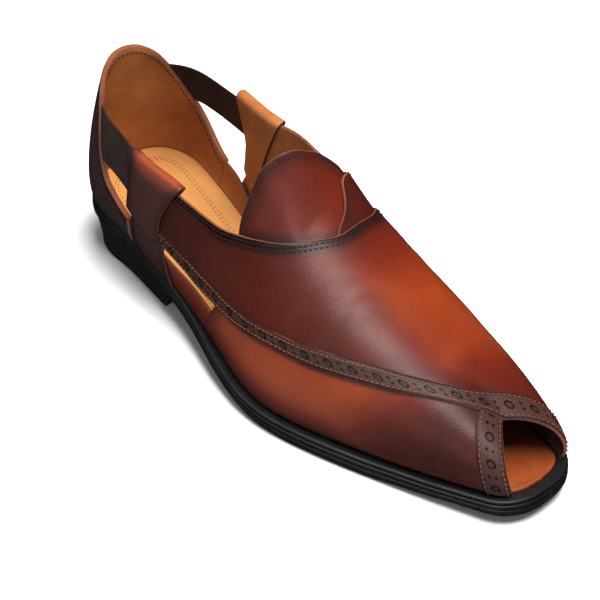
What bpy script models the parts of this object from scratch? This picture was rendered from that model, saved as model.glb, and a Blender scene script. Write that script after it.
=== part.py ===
"""Peshawari chappal, right shoe: a closed-back leather sandal with a peep toe.

The toe points along +Y, +X is the lateral (outer) side, and the sole rests on z = 0.
Every upper piece is a patch of one lasted surface. A place on that surface is a station,
which is a share of the way from heel to toe, and a turn, which runs over the foot from 0 at
the lateral feather edge through 0.5 on the ridge to 1 at the medial feather edge.
"""

import math

import bpy
import numpy as np

# Driving sizes in metres.
LENGTH = 0.300
BALL_WIDTH = 0.0986
HEEL_HEIGHT = 0.0225
TOE_SPRING = 0.0055
SOLE_THICKNESS = 0.0100
INSTEP_HEIGHT = 0.0960
COUNTER_HEIGHT = 0.0745
RIM_HEIGHT = 0.0150
HEEL_LEDGE = 0.0010
TOE_LEDGE = 0.0035
VAMP_LEATHER = 0.0015
UNDER_LEATHER = 0.0018
RIM_LEATHER = 0.0014
LAP_DEPTH = 0.0004
COUNTER_WALL = 0.0030
TONGUE_LEATHER = 0.0014
TONGUE_RISE = 0.0045
STRAP_LEATHER = 0.0014
TUNNEL_CLEARANCE = 0.0005
LATERAL_TUNNEL_HEIGHT = 0.0590
MEDIAL_TUNNEL_HEIGHT = 0.0705
MEDIAL_TUNNEL_RISE = 0.0030
LATERAL_ELASTIC_WIDTH = 0.0250
MEDIAL_ELASTIC_WIDTH = 0.0215
ELASTIC_THICKNESS = 0.0008
WELT_THICKNESS = 0.0024
INSOLE_THICKNESS = 0.0040
TOP_PIECE_THICKNESS = 0.0045
GAP = 0.0003

# Station, centre and half width of the feather edge as shares of the ball width.
FEATHER_OUTLINE = (
    (0.040, 0.010, 0.335),
    (0.133, 0.030, 0.309),
    (0.233, 0.081, 0.299),
    (0.333, 0.127, 0.298),
    (0.433, 0.137, 0.365),
    (0.533, 0.101, 0.461),
    (0.633, 0.061, 0.464),
    (0.717, 0.033, 0.421),
    (0.800, 0.015, 0.355),
    (0.883, -0.002, 0.284),
    (0.960, -0.020, 0.213),
)
HEEL_ROUND = 0.113
HEEL_POWER = 2.2
TOE_ROUND = 0.047
TOE_POWER = 2.65

# Station, underside height as shares of the heel height and of the toe spring, and thickness
# of sole and welt together as a share of the sole thickness.
SOLE_SIDE = (
    (0.000, 1.000, 0.00, 0.95),
    (0.133, 0.870, 0.00, 0.94),
    (0.250, 0.675, 0.00, 0.92),
    (0.300, 0.580, 0.00, 0.88),
    (0.350, 0.490, 0.00, 0.82),
    (0.400, 0.390, 0.00, 0.77),
    (0.500, 0.160, 0.00, 0.82),
    (0.567, 0.030, 0.00, 0.95),
    (0.617, 0.000, 0.00, 1.00),
    (0.750, 0.000, 0.00, 1.06),
    (0.800, 0.000, 0.20, 1.02),
    (0.850, 0.000, 0.45, 0.96),
    (0.900, 0.000, 0.73, 0.93),
    (0.950, 0.000, 0.88, 0.98),
    (1.000, 0.000, 1.00, 1.11),
)

# Station, sideways place of the ridge as a share of the ball width, its height over the
# feather edge as a share of the instep height, the fullness of the lateral and medial walls,
# and their outward swell as shares of the ball width.
LAST_SECTIONS = (
    (0.090, -0.010, 1.515, 1.27, 1.27, 0.050, 0.020),
    (0.200, -0.030, 1.370, 1.60, 1.85, 0.065, 0.070),
    (0.267, -0.050, 1.300, 2.00, 2.40, 0.026, 0.048),
    (0.367, -0.076, 1.157, 2.15, 2.50, 0.022, 0.060),
    (0.450, -0.076, 1.000, 2.05, 2.35, 0.020, 0.040),
    (0.533, -0.056, 0.815, 2.12, 2.15, 0.024, 0.022),
    (0.633, -0.032, 0.672, 2.22, 2.20, 0.029, 0.024),
    (0.733, -0.016, 0.537, 2.37, 2.45, 0.029, 0.036),
    (0.833, -0.010, 0.408, 2.48, 2.70, 0.033, 0.056),
    (0.927, -0.012, 0.230, 2.55, 2.75, 0.016, 0.026),
)
HEEL_RAKE = 0.090
HEEL_RAKE_START = 0.250
TOE_RAKE = 0.062
TOE_RAKE_START = 0.783
RAKE_LAG = 0.12

# Station and turn along the edges of the vamp: the brogued lateral edge from the end of the
# wing to the peak of the toe opening, and the throat from the same end to the medial waist.
VAMP_LATERAL_EDGE = (
    (0.237, 0.088),
    (0.250, 0.068),
    (0.267, 0.050),
    (0.340, 0.047),
    (0.437, 0.076),
    (0.553, 0.139),
    (0.653, 0.181),
    (0.747, 0.248),
    (0.833, 0.344),
    (0.900, 0.425),
    (0.963, 0.500),
)
VAMP_THROAT_EDGE = (
    (0.237, 0.140),
    (0.287, 0.142),
    (0.327, 0.147),
    (0.367, 0.160),
    (0.428, 0.210),
    (0.487, 0.285),
    (0.528, 0.375),
    (0.553, 0.480),
    (0.549, 0.580),
    (0.524, 0.700),
    (0.487, 0.810),
    (0.443, 0.902),
    (0.403, 0.960),
    (0.367, 1.000),
)
TOE_OPENING_MEDIAL = (0.971, 1.000)
VAMP_FEATHER_START = 0.400

# Station and turn of the lateral toe panel's hidden top edge, under the vamp.
TOE_PANEL_TOP = (
    (0.440, 0.125),
    (0.553, 0.185),
    (0.653, 0.232),
    (0.747, 0.300),
    (0.833, 0.395),
    (0.900, 0.465),
    (0.960, 0.530),
)
TOE_PANEL_REAR = 0.380
TOE_OPENING_LATERAL = 0.973

# Station and turn of the medial wing's top edge and of its lower edge, which runs under the
# vamp from the waist forward.
MEDIAL_WING_TOP = (
    (0.257, 0.852),
    (0.285, 0.836),
    (0.310, 0.822),
    (0.335, 0.808),
    (0.360, 0.797),
    (0.400, 0.785),
    (0.443, 0.761),
    (0.475, 0.665),
    (0.494, 0.578),
    (0.518, 0.542),
    (0.534, 0.505),
    (0.546, 0.468),
    (0.566, 0.420),
)
MEDIAL_WING_LOW = (
    (0.257, 0.956),
    (0.290, 0.966),
    (0.330, 0.981),
    (0.360, 0.997),
    (0.410, 0.985),
    (0.480, 0.900),
    (0.556, 0.720),
    (0.590, 0.560),
    (0.600, 0.450),
)

# Station and height of the counter's lateral and medial top edge as shares of its height.
COUNTER_TOP = (
    (0.003, 1.000, 1.000),
    (0.007, 0.985, 0.985),
    (0.013, 0.965, 0.950),
    (0.027, 0.930, 0.870),
    (0.043, 0.880, 0.745),
    (0.057, 0.800, 0.640),
    (0.070, 0.680, 0.555),
    (0.080, 0.560, 0.500),
    (0.093, 0.440, 0.440),
    (0.106, 0.350, 0.380),
    (0.127, 0.275, 0.300),
    (0.150, 0.225, 0.235),
    (0.170, 0.205, 0.205),
)
COUNTER_END = 0.170
# Station and height of the lateral and medial rim as shares of the rim height.
RIM_TOP = (
    (0.140, 1.08, 1.00),
    (0.170, 1.06, 1.00),
    (0.200, 0.98, 0.98),
    (0.240, 0.87, 0.80),
    (0.280, 0.84, 0.60),
    (0.320, 0.89, 0.58),
    (0.360, 0.93, 0.58),
    (0.400, 0.96, 0.58),
)

# Turn and station of the tongue's rounded rear end.
TONGUE_TIP = (
    (0.160, 0.430),
    (0.230, 0.413),
    (0.310, 0.412),
    (0.390, 0.422),
    (0.450, 0.433),
    (0.520, 0.449),
    (0.600, 0.461),
    (0.680, 0.464),
    (0.780, 0.466),
    (0.850, 0.472),
)
TONGUE_FRONT = 0.610
TONGUE_COVERED = 0.515

# Share of the tunnel's height, and stations of a keeper's rear edge outside, of its front edge
# and of its rear edge inside.
LATERAL_KEEPER = (
    (0.00, 0.188, 0.290, 0.195),
    (0.20, 0.182, 0.268, 0.200),
    (0.38, 0.180, 0.254, 0.214),
    (0.58, 0.180, 0.256, 0.216),
    (0.82, 0.178, 0.272, 0.190),
    (1.00, 0.177, 0.290, 0.177),
)
MEDIAL_KEEPER = (
    (0.00, 0.205, 0.312, 0.212),
    (0.20, 0.207, 0.288, 0.220),
    (0.38, 0.209, 0.278, 0.230),
    (0.58, 0.210, 0.284, 0.232),
    (0.82, 0.211, 0.300, 0.220),
    (1.00, 0.212, 0.316, 0.212),
)
# Height share of the seam that closes each tunnel, at its rear and front edges.
LATERAL_SEAM = (0.45, 0.33)
MEDIAL_SEAM = (0.40, 0.225)

# Station and height over the floor, as a share of the instep height, of the middle of each
# elastic at its rear and front ends.
LATERAL_ELASTIC = ((0.032, 0.850), (0.221, 0.720))
MEDIAL_ELASTIC = ((0.032, 0.810), (0.247, 0.845))
ELASTIC_REAR_SLANT = 0.014

HEEL_BREAST = 0.253
HEEL_TAPER_BACK = 0.0045
HEEL_TAPER_SIDE = 0.0030

SIDE_STATIONS = 38


def clear_scene():
    for item in list(bpy.data.objects):
        bpy.data.objects.remove(item, do_unlink=True)


def smooth_step(value):
    value = np.clip(value, 0.0, 1.0)
    return value * value * (3.0 - 2.0 * value)


def steady_slopes(x, y):
    """Slopes that never overshoot, so level stretches stay level."""
    step = np.diff(x)
    rise = np.diff(y) / step
    slopes = np.zeros_like(y)
    slopes[0] = rise[0]
    slopes[-1] = rise[-1]
    for i in range(1, len(x) - 1):
        if rise[i - 1] * rise[i] > 0.0:
            before = 2.0 * step[i] + step[i - 1]
            after = step[i] + 2.0 * step[i - 1]
            slopes[i] = (before + after) / (before / rise[i - 1] + after / rise[i])
    return slopes


def natural_slopes(x, y):
    """Slopes of the natural cubic spline, for outlines that must stay fair."""
    count = len(x)
    step = np.diff(x)
    rise = np.diff(y) / step
    matrix = np.zeros((count, count))
    target = np.zeros(count)
    matrix[0, :2] = (2.0, 1.0)
    target[0] = 3.0 * rise[0]
    matrix[-1, -2:] = (1.0, 2.0)
    target[-1] = 3.0 * rise[-1]
    for i in range(1, count - 1):
        matrix[i, i - 1] = step[i]
        matrix[i, i] = 2.0 * (step[i - 1] + step[i])
        matrix[i, i + 1] = step[i - 1]
        target[i] = 3.0 * (step[i] * rise[i - 1] + step[i - 1] * rise[i])
    return np.linalg.solve(matrix, target)


def curve_through(table, column, slopes=steady_slopes):
    """A smooth function of the table's first column that passes through another column."""
    x = np.array([row[0] for row in table], dtype=float)
    y = np.array([row[column] for row in table], dtype=float)
    tangent = slopes(x, y)

    def value(at):
        at = np.asarray(at, dtype=float)
        i = np.clip(np.searchsorted(x, at) - 1, 0, len(x) - 2)
        width = x[i + 1] - x[i]
        s = (at - x[i]) / width
        inside = np.clip(s, 0.0, 1.0)
        h00 = (1.0 + 2.0 * inside) * (1.0 - inside) ** 2
        h10 = inside * (1.0 - inside) ** 2
        h01 = inside**2 * (3.0 - 2.0 * inside)
        h11 = inside**2 * (inside - 1.0)
        shape = h00 * y[i] + h01 * y[i + 1] + (h10 * tangent[i] + h11 * tangent[i + 1]) * width
        ends = np.where(s < 0.0, tangent[i], tangent[i + 1])
        return shape + (s - inside) * width * ends

    return value


outline_centre = curve_through(FEATHER_OUTLINE, 1, natural_slopes)
outline_half = curve_through(FEATHER_OUTLINE, 2, natural_slopes)
heel_lift = curve_through(SOLE_SIDE, 1)
toe_lift = curve_through(SOLE_SIDE, 2)
sole_depth = curve_through(SOLE_SIDE, 3)
ridge_side = curve_through(LAST_SECTIONS, 1)
ridge_rise = curve_through(LAST_SECTIONS, 2)
wall_fullness = {1: curve_through(LAST_SECTIONS, 3), -1: curve_through(LAST_SECTIONS, 4)}
wall_swell = {1: curve_through(LAST_SECTIONS, 5), -1: curve_through(LAST_SECTIONS, 6)}
counter_top = {1: curve_through(COUNTER_TOP, 1), -1: curve_through(COUNTER_TOP, 2)}
rim_share = {1: curve_through(RIM_TOP, 1), -1: curve_through(RIM_TOP, 2)}
tongue_tip = curve_through(TONGUE_TIP, 1)

HEEL_END = HEEL_LEDGE
TOE_END = LENGTH - TOE_LEDGE


def underside(y):
    """Height of the sole's underside, without the heel."""
    share = np.clip(np.asarray(y) / LENGTH, 0.0, 1.0)
    return HEEL_HEIGHT * heel_lift(share) + TOE_SPRING * toe_lift(share)


def feather(y):
    """Height of the feather edge, where the upper meets the welt."""
    share = np.clip(np.asarray(y) / LENGTH, 0.0, 1.0)
    return underside(y) + SOLE_THICKNESS * sole_depth(share)


def welt_top(y):
    return feather(y) - GAP


def welt_bottom(y):
    return welt_top(y) - WELT_THICKNESS


def sole_top(y):
    return welt_bottom(y) - GAP


def insole_bottom(y):
    return sole_top(y) + GAP


def insole_top(y):
    return insole_bottom(y) + INSOLE_THICKNESS


def feather_half_width(y):
    """Half width of the feather outline, rounded in at the heel and the squared toe."""
    from_heel = np.clip((y - HEEL_END) / (HEEL_ROUND * LENGTH), 0.0, 1.0)
    from_toe = np.clip((TOE_END - y) / (TOE_ROUND * LENGTH), 0.0, 1.0)
    heel = (1.0 - (1.0 - from_heel) ** HEEL_POWER) ** (1.0 / HEEL_POWER)
    toe = (1.0 - (1.0 - from_toe) ** TOE_POWER) ** (1.0 / TOE_POWER)
    return outline_half(y / LENGTH) * BALL_WIDTH * heel * toe


def station_at(fraction):
    """Length along the shoe, closely spaced near both ends."""
    return HEEL_END + (TOE_END - HEEL_END) * (1.0 - np.cos(np.pi * fraction)) / 2.0


def fraction_at(y):
    share = np.clip((y - HEEL_END) / (TOE_END - HEEL_END), 0.0, 1.0)
    return np.arccos(1.0 - 2.0 * share) / np.pi


def feather_point(fraction, side):
    y = station_at(fraction)
    x = outline_centre(y / LENGTH) * BALL_WIDTH + side * feather_half_width(y)
    return np.stack([x, y], axis=-1)


def plan_normal(fraction, side):
    """Outward direction of the feather outline, seen from above."""
    step = 0.002
    fraction = np.asarray(fraction, dtype=float)
    side = np.broadcast_to(side, fraction.shape)
    ahead = feather_point(np.clip(fraction + step, 0.0, 1.0), side)
    behind = feather_point(np.clip(fraction - step, 0.0, 1.0), side)
    run = ahead - behind
    normal = np.stack([run[..., 1], -run[..., 0]], axis=-1) * side[..., None]
    normal[..., 0] = np.where((fraction < 1e-6) | (fraction > 1.0 - 1e-6), 0.0, normal[..., 0])
    return normal / np.linalg.norm(normal, axis=-1, keepdims=True)


def edge_point(fraction, side, outward):
    """A point of the feather outline moved outward along its plan normal."""
    return feather_point(fraction, side) + plan_normal(fraction, side) * np.asarray(outward)[..., None]


def ledge(y):
    """How far the sole stands out past the feather edge."""
    share = np.clip((y / LENGTH - 0.30) / 0.133, 0.0, 1.0)
    return HEEL_LEDGE + (TOE_LEDGE - HEEL_LEDGE) * share


def ridge_station(y):
    """Where the ridge is met by the section that starts at a feather station."""
    toe = smooth_step((y / LENGTH - TOE_RAKE_START) / (TOE_END / LENGTH - TOE_RAKE_START))
    heel = smooth_step((HEEL_RAKE_START - y / LENGTH) / (HEEL_RAKE_START - HEEL_END / LENGTH))
    return y + LENGTH * (HEEL_RAKE * heel - TOE_RAKE * toe)


def section_fullness(y, side):
    share = ridge_station(y) / LENGTH
    return np.where(side > 0, wall_fullness[1](share), wall_fullness[-1](share))


def ridge_height(y):
    share = ridge_station(y) / LENGTH
    return feather(ridge_station(y)) + ridge_rise(share) * INSTEP_HEIGHT


def last_point(fraction, turn):
    """A point of the lasted surface."""
    fraction = np.clip(fraction, 0.0, 1.0)
    turn = np.clip(turn, 0.0, 1.0)
    side = np.where(turn <= 0.5, 1.0, -1.0)
    angle = np.pi * np.where(turn <= 0.5, turn, 1.0 - turn)
    y = station_at(fraction)
    top_y = ridge_station(y)
    power = 2.0 / section_fullness(y, side)
    inward = 1.0 - np.clip(np.cos(angle), 0.0, 1.0) ** power
    upward = np.clip(np.sin(angle), 0.0, 1.0) ** power
    centre = outline_centre(y / LENGTH) * BALL_WIDTH
    top_x = ridge_side(top_y / LENGTH) * BALL_WIDTH
    x = centre + (top_x - centre) * upward + side * feather_half_width(y) * (1.0 - inward)
    forward = inward * (1.0 - RAKE_LAG) + RAKE_LAG * upward
    low = feather(y)
    z = low + (ridge_height(y) - low) * upward
    share = top_y / LENGTH
    swell = np.where(side > 0, wall_swell[1](share), wall_swell[-1](share)) * BALL_WIDTH
    swell = swell * 2.6 * upward**0.6 * (1.0 - upward)
    out = plan_normal(fraction, side) * swell[..., None]
    return np.stack([x + out[..., 0], y + (top_y - y) * forward + out[..., 1], z], axis=-1)


def last_surface(stations, turns):
    """Points and outward normals of the lasted surface."""
    fraction = fraction_at(np.asarray(stations) * LENGTH)
    turns = np.asarray(turns, dtype=float)
    point = last_point(fraction, turns)
    near = np.where(turns <= 0.5, 0.0, 1.0)
    wraps = (fraction < 1e-6) | (fraction > 1.0 - 1e-6)
    along = last_point(fraction + 0.004, turns) - last_point(fraction - 0.004, turns)
    around = last_point(fraction, turns + 0.008) - last_point(fraction, turns - 0.008)
    normal = np.cross(along, around)
    normal[..., 0] = np.where(wraps & (abs(turns - near) < 0.45), 0.0, normal[..., 0])
    return point, normal / np.linalg.norm(normal, axis=-1, keepdims=True)


def turn_at_height(stations, side, height):
    """The turn at which a wall reaches a height over the floor."""
    y = np.asarray(stations) * LENGTH
    low = feather(y)
    share = np.clip((height - low) / (ridge_height(y) - low), 0.0, 1.0)
    angle = np.arcsin(share ** (section_fullness(y, side) / 2.0)) / np.pi
    return np.where(np.asarray(side) > 0, angle, 1.0 - angle)


def points_along(table, count, start=0.0, stop=1.0):
    """Evenly spaced places along a smooth edge through a table of stations and turns."""
    rows = np.array(table, dtype=float)
    reach = np.concatenate([[0.0], np.cumsum(np.linalg.norm(np.diff(rows, axis=0), axis=1))])
    reach = reach / reach[-1]
    keyed = [(reach[i], rows[i, 0], rows[i, 1]) for i in range(len(rows))]
    at = np.linspace(start, stop, count)
    return np.stack([curve_through(keyed, 1)(at), curve_through(keyed, 2)(at)], axis=-1)


def ruled(first, second, count):
    """A grid of places between two edges with the same number of points."""
    blend = np.linspace(0.0, 1.0, count)[None, :, None]
    return first[:, None, :] * (1.0 - blend) + second[:, None, :] * blend


def new_material(name, colour, roughness):
    material = bpy.data.materials.new(name)
    material.use_nodes = True
    shader = material.node_tree.nodes["Principled BSDF"]
    shader.inputs["Base Color"].default_value = (*colour, 1.0)
    shader.inputs["Roughness"].default_value = roughness
    shader.inputs["Metallic"].default_value = 0.0
    return material


def add_object(name, points, faces, material):
    mesh = bpy.data.meshes.new(name)
    mesh.from_pydata([tuple(p) for p in points], [], faces)
    mesh.validate()
    item = bpy.data.objects.new(name, mesh)
    bpy.context.scene.collection.objects.link(item)
    item.data.materials.append(material)
    mesh.shade_smooth()
    mesh.set_sharp_from_angle(angle=math.radians(40.0))
    return item


def closed_sheet(name, outer, inner, material):
    """A closed solid between two grids of points. The outer grid's columns run from heel to
    toe or round the heel, so that its faces point outward."""
    rows, columns = outer.shape[:2]
    points = np.concatenate([outer.reshape(-1, 3), inner.reshape(-1, 3)])
    second = rows * columns

    def at(i, j, layer):
        return layer * second + i * columns + j

    faces = []
    for i in range(rows - 1):
        for j in range(columns - 1):
            faces.append((at(i, j, 0), at(i + 1, j, 0), at(i + 1, j + 1, 0), at(i, j + 1, 0)))
            faces.append((at(i, j, 1), at(i, j + 1, 1), at(i + 1, j + 1, 1), at(i + 1, j, 1)))
    for i in range(rows - 1):
        faces.append((at(i, 0, 0), at(i, 0, 1), at(i + 1, 0, 1), at(i + 1, 0, 0)))
        last = columns - 1
        faces.append((at(i, last, 0), at(i + 1, last, 0), at(i + 1, last, 1), at(i, last, 1)))
    for j in range(columns - 1):
        faces.append((at(0, j, 0), at(0, j + 1, 0), at(0, j + 1, 1), at(0, j, 1)))
        last = rows - 1
        faces.append((at(last, j, 0), at(last, j, 1), at(last, j + 1, 1), at(last, j + 1, 0)))
    return add_object(name, points, faces, material)


def leather_patch(name, places, outer, inner, material):
    """A panel of the upper between two depths, measured from the lasted surface."""
    point, normal = last_surface(places[..., 0], places[..., 1])
    outer_face = point + normal * np.broadcast_to(outer, point.shape[:2])[..., None]
    inner_face = point + normal * np.broadcast_to(inner, point.shape[:2])[..., None]
    at_feather = (places[..., 1] <= 1e-6) | (places[..., 1] >= 1.0 - 1e-6)
    for face in (outer_face, inner_face):
        face[..., 2] = np.where(at_feather, feather(face[..., 1]), face[..., 2])
    return closed_sheet(name, outer_face, inner_face, material)


def guide(item):
    item.hide_render = True
    item.display_type = "WIRE"
    return item


def boolean(target, other, operation):
    modifier = target.modifiers.new(other.name, "BOOLEAN")
    modifier.operation = operation
    modifier.object = guide(other)


def vamp_places():
    throat_split = (0.0, 0.50, 0.70, 1.0)
    counts = (30, 8, 18)
    lateral = points_along(VAMP_LATERAL_EDGE, counts[0] + 1)
    peak = np.array(VAMP_LATERAL_EDGE[-1])
    toe = ruled(peak[None, :], np.array(TOE_OPENING_MEDIAL)[None, :], counts[1] + 1)[0]
    toe_end = np.array(TOE_OPENING_MEDIAL)
    medial = ruled(toe_end[None, :], np.array((VAMP_FEATHER_START, 1.0))[None, :], counts[2] + 1)[0]
    outer = np.concatenate([lateral, toe[1:], medial[1:]])
    throat = [
        points_along(VAMP_THROAT_EDGE, counts[k] + 1, throat_split[k], throat_split[k + 1])[min(k, 1):]
        for k in range(3)
    ]
    return ruled(np.concatenate(throat), outer, 17)[:, ::-1]


def toe_panel_places():
    top = points_along(TOE_PANEL_TOP, 25)
    low_stations = np.linspace(TOE_PANEL_REAR, TOE_OPENING_LATERAL, 25)
    low = np.stack([low_stations, np.zeros(25)], axis=-1)
    return ruled(low, top, 8)


def medial_wing_places():
    return ruled(points_along(MEDIAL_WING_TOP, 17), points_along(MEDIAL_WING_LOW, 17), 7)


def rim_places(side):
    """A low strip whose foot stays just above the feet of the panels that it joins."""
    stations = np.linspace(RIM_TOP[0][0], RIM_TOP[-1][0], 15)
    level = feather(stations * LENGTH)
    foot = np.stack([stations, turn_at_height(stations, side, level + 0.5 * GAP)], axis=-1)
    height = rim_share[side](stations) * RIM_HEIGHT
    top = np.stack([stations, turn_at_height(stations, side, level + height)], axis=-1)
    return ruled(foot, top, 4) if side > 0 else ruled(top, foot, 4)


def counter_places():
    """The counter, from its lateral end round the back to its medial end."""
    half = 13
    steps = np.arange(-half, half + 1) / half
    stations = HEEL_END / LENGTH + (COUNTER_END - HEEL_END / LENGTH) * abs(steps) ** 1.9
    places = np.zeros((2 * half + 1, 10, 2))
    for i in range(2 * half + 1):
        side = 1 if i <= half else -1
        rise = np.linspace(0.0, 1.0, 10) * counter_top[side](stations[i]) * COUNTER_HEIGHT
        level = feather(stations[i] * LENGTH) + rise
        places[i, :, 0] = stations[i]
        places[i, :, 1] = turn_at_height(np.full(10, stations[i]), side, level)
    return places[::-1]


def elastic_places(ends, side, margin=0.0):
    """Places of an elastic strap. The margin widens it and lengthens its rear end."""
    (rear, rear_height), (front, front_height) = ends
    half = (LATERAL_ELASTIC_WIDTH if side > 0 else MEDIAL_ELASTIC_WIDTH) / 2.0 + margin
    across = np.linspace(1.0, -1.0, 4)
    along = np.linspace(0.0, 1.0, 11)
    rear = rear - margin / LENGTH - ELASTIC_REAR_SLANT * across
    stations = rear[None, :] * (1.0 - along[:, None]) + front * along[:, None]
    middle = (rear_height + (front_height - rear_height) * along) * INSTEP_HEIGHT
    height = middle[:, None] + half * across[None, :]
    places = np.stack([stations, turn_at_height(stations, side, height)], axis=-1)
    return places if side < 0 else places[:, ::-1]


def wing_faces(side):
    """Depths of the outer and inner face of a wing: the vamp's own one is the lateral."""
    if side > 0:
        return 0.0, -VAMP_LEATHER
    return LAP_DEPTH - VAMP_LEATHER, LAP_DEPTH - VAMP_LEATHER - UNDER_LEATHER


def make_upper(leather):
    under_top, under_low = wing_faces(-1)
    rim_top = under_top - (UNDER_LEATHER - RIM_LEATHER) / 2.0
    rim_low = rim_top - RIM_LEATHER
    upper = leather_patch("upper", vamp_places(), 0.0, -VAMP_LEATHER, leather)
    panels = [
        leather_patch("toe_panel", toe_panel_places(), under_top, under_low, leather),
        leather_patch("medial_wing", medial_wing_places(), under_top, under_low, leather),
        leather_patch("counter", counter_places(), 0.0, -COUNTER_WALL, leather),
        leather_patch("lateral_rim", rim_places(1), rim_top, rim_low, leather),
        leather_patch("medial_rim", rim_places(-1), rim_top, rim_low, leather),
    ]
    for panel in panels:
        boolean(upper, panel, "UNION")
    middle = -COUNTER_WALL / 2.0
    half = ELASTIC_THICKNESS / 2.0 + 1.5 * GAP
    for name, ends, side in (("lateral", LATERAL_ELASTIC, 1), ("medial", MEDIAL_ELASTIC, -1)):
        places = elastic_places(ends, side, margin=1.5 * GAP)
        slot = leather_patch(name + "_slot", places, middle + half, middle - half, leather)
        boolean(upper, slot, "DIFFERENCE")
    return upper


def make_elastic(name, ends, side, webbing):
    """A flat strap that starts inside the counter's wall and ends inside the keeper."""
    places = elastic_places(ends, side)
    along = np.linspace(0.0, 1.0, places.shape[0])[:, None]
    shift = smooth_step((along - 0.45) / 0.4)
    middle = -COUNTER_WALL / 2.0 * (1.0 - shift) + sum(wing_faces(side)) / 2.0 * shift
    half = ELASTIC_THICKNESS / 2.0
    return leather_patch(name, places, middle + half, middle - half, webbing)


def make_tongue(leather):
    """A rounded tab under the wings. Its bare end rises off the lasted surface."""
    turns = np.linspace(TONGUE_TIP[0][0], TONGUE_TIP[-1][0], 17)
    tip = np.stack([tongue_tip(turns), turns], axis=-1)
    front = np.stack([np.full(17, TONGUE_FRONT), 0.5 + (turns - 0.5) * 0.55], axis=-1)
    places = ruled(tip, front, 9)
    stations = places[..., 0]
    turns = places[..., 1]
    under_vamp = -VAMP_LEATHER - GAP
    under_wing = LAP_DEPTH - VAMP_LEATHER - UNDER_LEATHER - GAP
    outer = under_vamp + (under_wing - under_vamp) * smooth_step((turns - 0.32) / 0.08)
    bare = smooth_step((0.18 - abs(turns - 0.45)) / 0.16)
    lean = np.clip((TONGUE_COVERED - stations) / (TONGUE_COVERED - 0.43), 0.0, 1.1) ** 1.2
    outer = outer + TONGUE_RISE * bare * lean
    return leather_patch("tongue", places.swapaxes(0, 1), outer.T, outer.T - TONGUE_LEATHER, leather)


def keeper_path(seam_share, tunnel_height, wing_inner):
    """Heights over the feather edge and depths of a keeper's middle line, from the sole up
    inside the wing, over the top and down outside to the stitched seam."""
    inner = wing_inner - TUNNEL_CLEARANCE - STRAP_LEATHER / 2.0
    foot = -0.2 * STRAP_LEATHER
    outer = foot + STRAP_LEATHER + GAP
    radius = (outer - inner) / 2.0
    seam = seam_share * tunnel_height
    crossing = 0.08 * tunnel_height
    heights = [share * (seam - crossing) for share in (0.0, 0.1, 0.22, 0.42, 0.7, 1.0)]
    depths = [foot] * len(heights)
    for k in range(1, 5):
        heights.append(seam - crossing + crossing * k / 4.0)
        depths.append(foot + (inner - foot) * float(smooth_step(k / 4.0)))
    straight_top = tunnel_height - radius
    for k in range(1, 4):
        heights.append(seam + (straight_top - seam) * k / 3.0)
        depths.append(inner)
    for k in range(1, 9):
        angle = math.pi * k / 8.0
        heights.append(straight_top + radius * math.sin(angle))
        depths.append((outer + inner) / 2.0 - radius * math.cos(angle))
    for k in range(1, 5):
        heights.append(straight_top + (seam - straight_top) * k / 4.0)
        depths.append(outer)
    return heights, depths


def make_keeper(name, table, seam, tunnel, side, leather):
    """An upright strap folded over into a tunnel for the wing's end and the elastic. The
    tunnel is given by its height at the rear edge and its rise to the front edge."""
    columns = 7
    rear_outside = curve_through(table, 1)
    front = curve_through(table, 2)
    rear_inside = curve_through(table, 3)
    middle = []
    for c in np.linspace(0.0, 1.0, columns):
        seam_share = seam[0] + (seam[1] - seam[0]) * c
        tunnel_height = tunnel[0] + tunnel[1] * c
        heights, depths = keeper_path(seam_share, tunnel_height, wing_faces(side)[1])
        share = np.clip(np.array(heights) / tunnel_height, 0.0, 1.0)
        outside = np.arange(len(heights)) > np.argmax(heights)
        rear = np.where(outside, rear_outside(share), rear_inside(share))
        stations = rear + (front(share) - rear) * c
        levels = feather(stations * LENGTH) + np.array(heights)
        point, normal = last_surface(stations, turn_at_height(stations, side, levels))
        middle.append(point + normal * np.array(depths)[:, None])
    middle = np.array(middle)
    along = np.gradient(middle, axis=0)
    up = np.gradient(middle, axis=1)
    normal = np.cross(along, up) * side
    normal = normal / np.linalg.norm(normal, axis=-1, keepdims=True)
    half = normal * STRAP_LEATHER / 2.0
    faces = (middle + half, middle - half)
    if side < 0:
        faces = (middle[:, ::-1] + half[:, ::-1], middle[:, ::-1] - half[:, ::-1])
    for face in faces:
        foot = face[:, 0] if side > 0 else face[:, -1]
        foot[:, 2] = feather(foot[:, 1])
    return closed_sheet(name, faces[0], faces[1], leather)


def outline_loop(fractions, outward, height):
    """Points of one side after the other, from the heel to the toe on each."""
    loops = []
    for side in (1.0, -1.0):
        plan = edge_point(fractions, side, outward)
        z = height(plan[:, 1]) if callable(height) else np.full(len(plan), height)
        loops.append(np.concatenate([plan, z[:, None]], axis=1))
    return np.array(loops)


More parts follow.
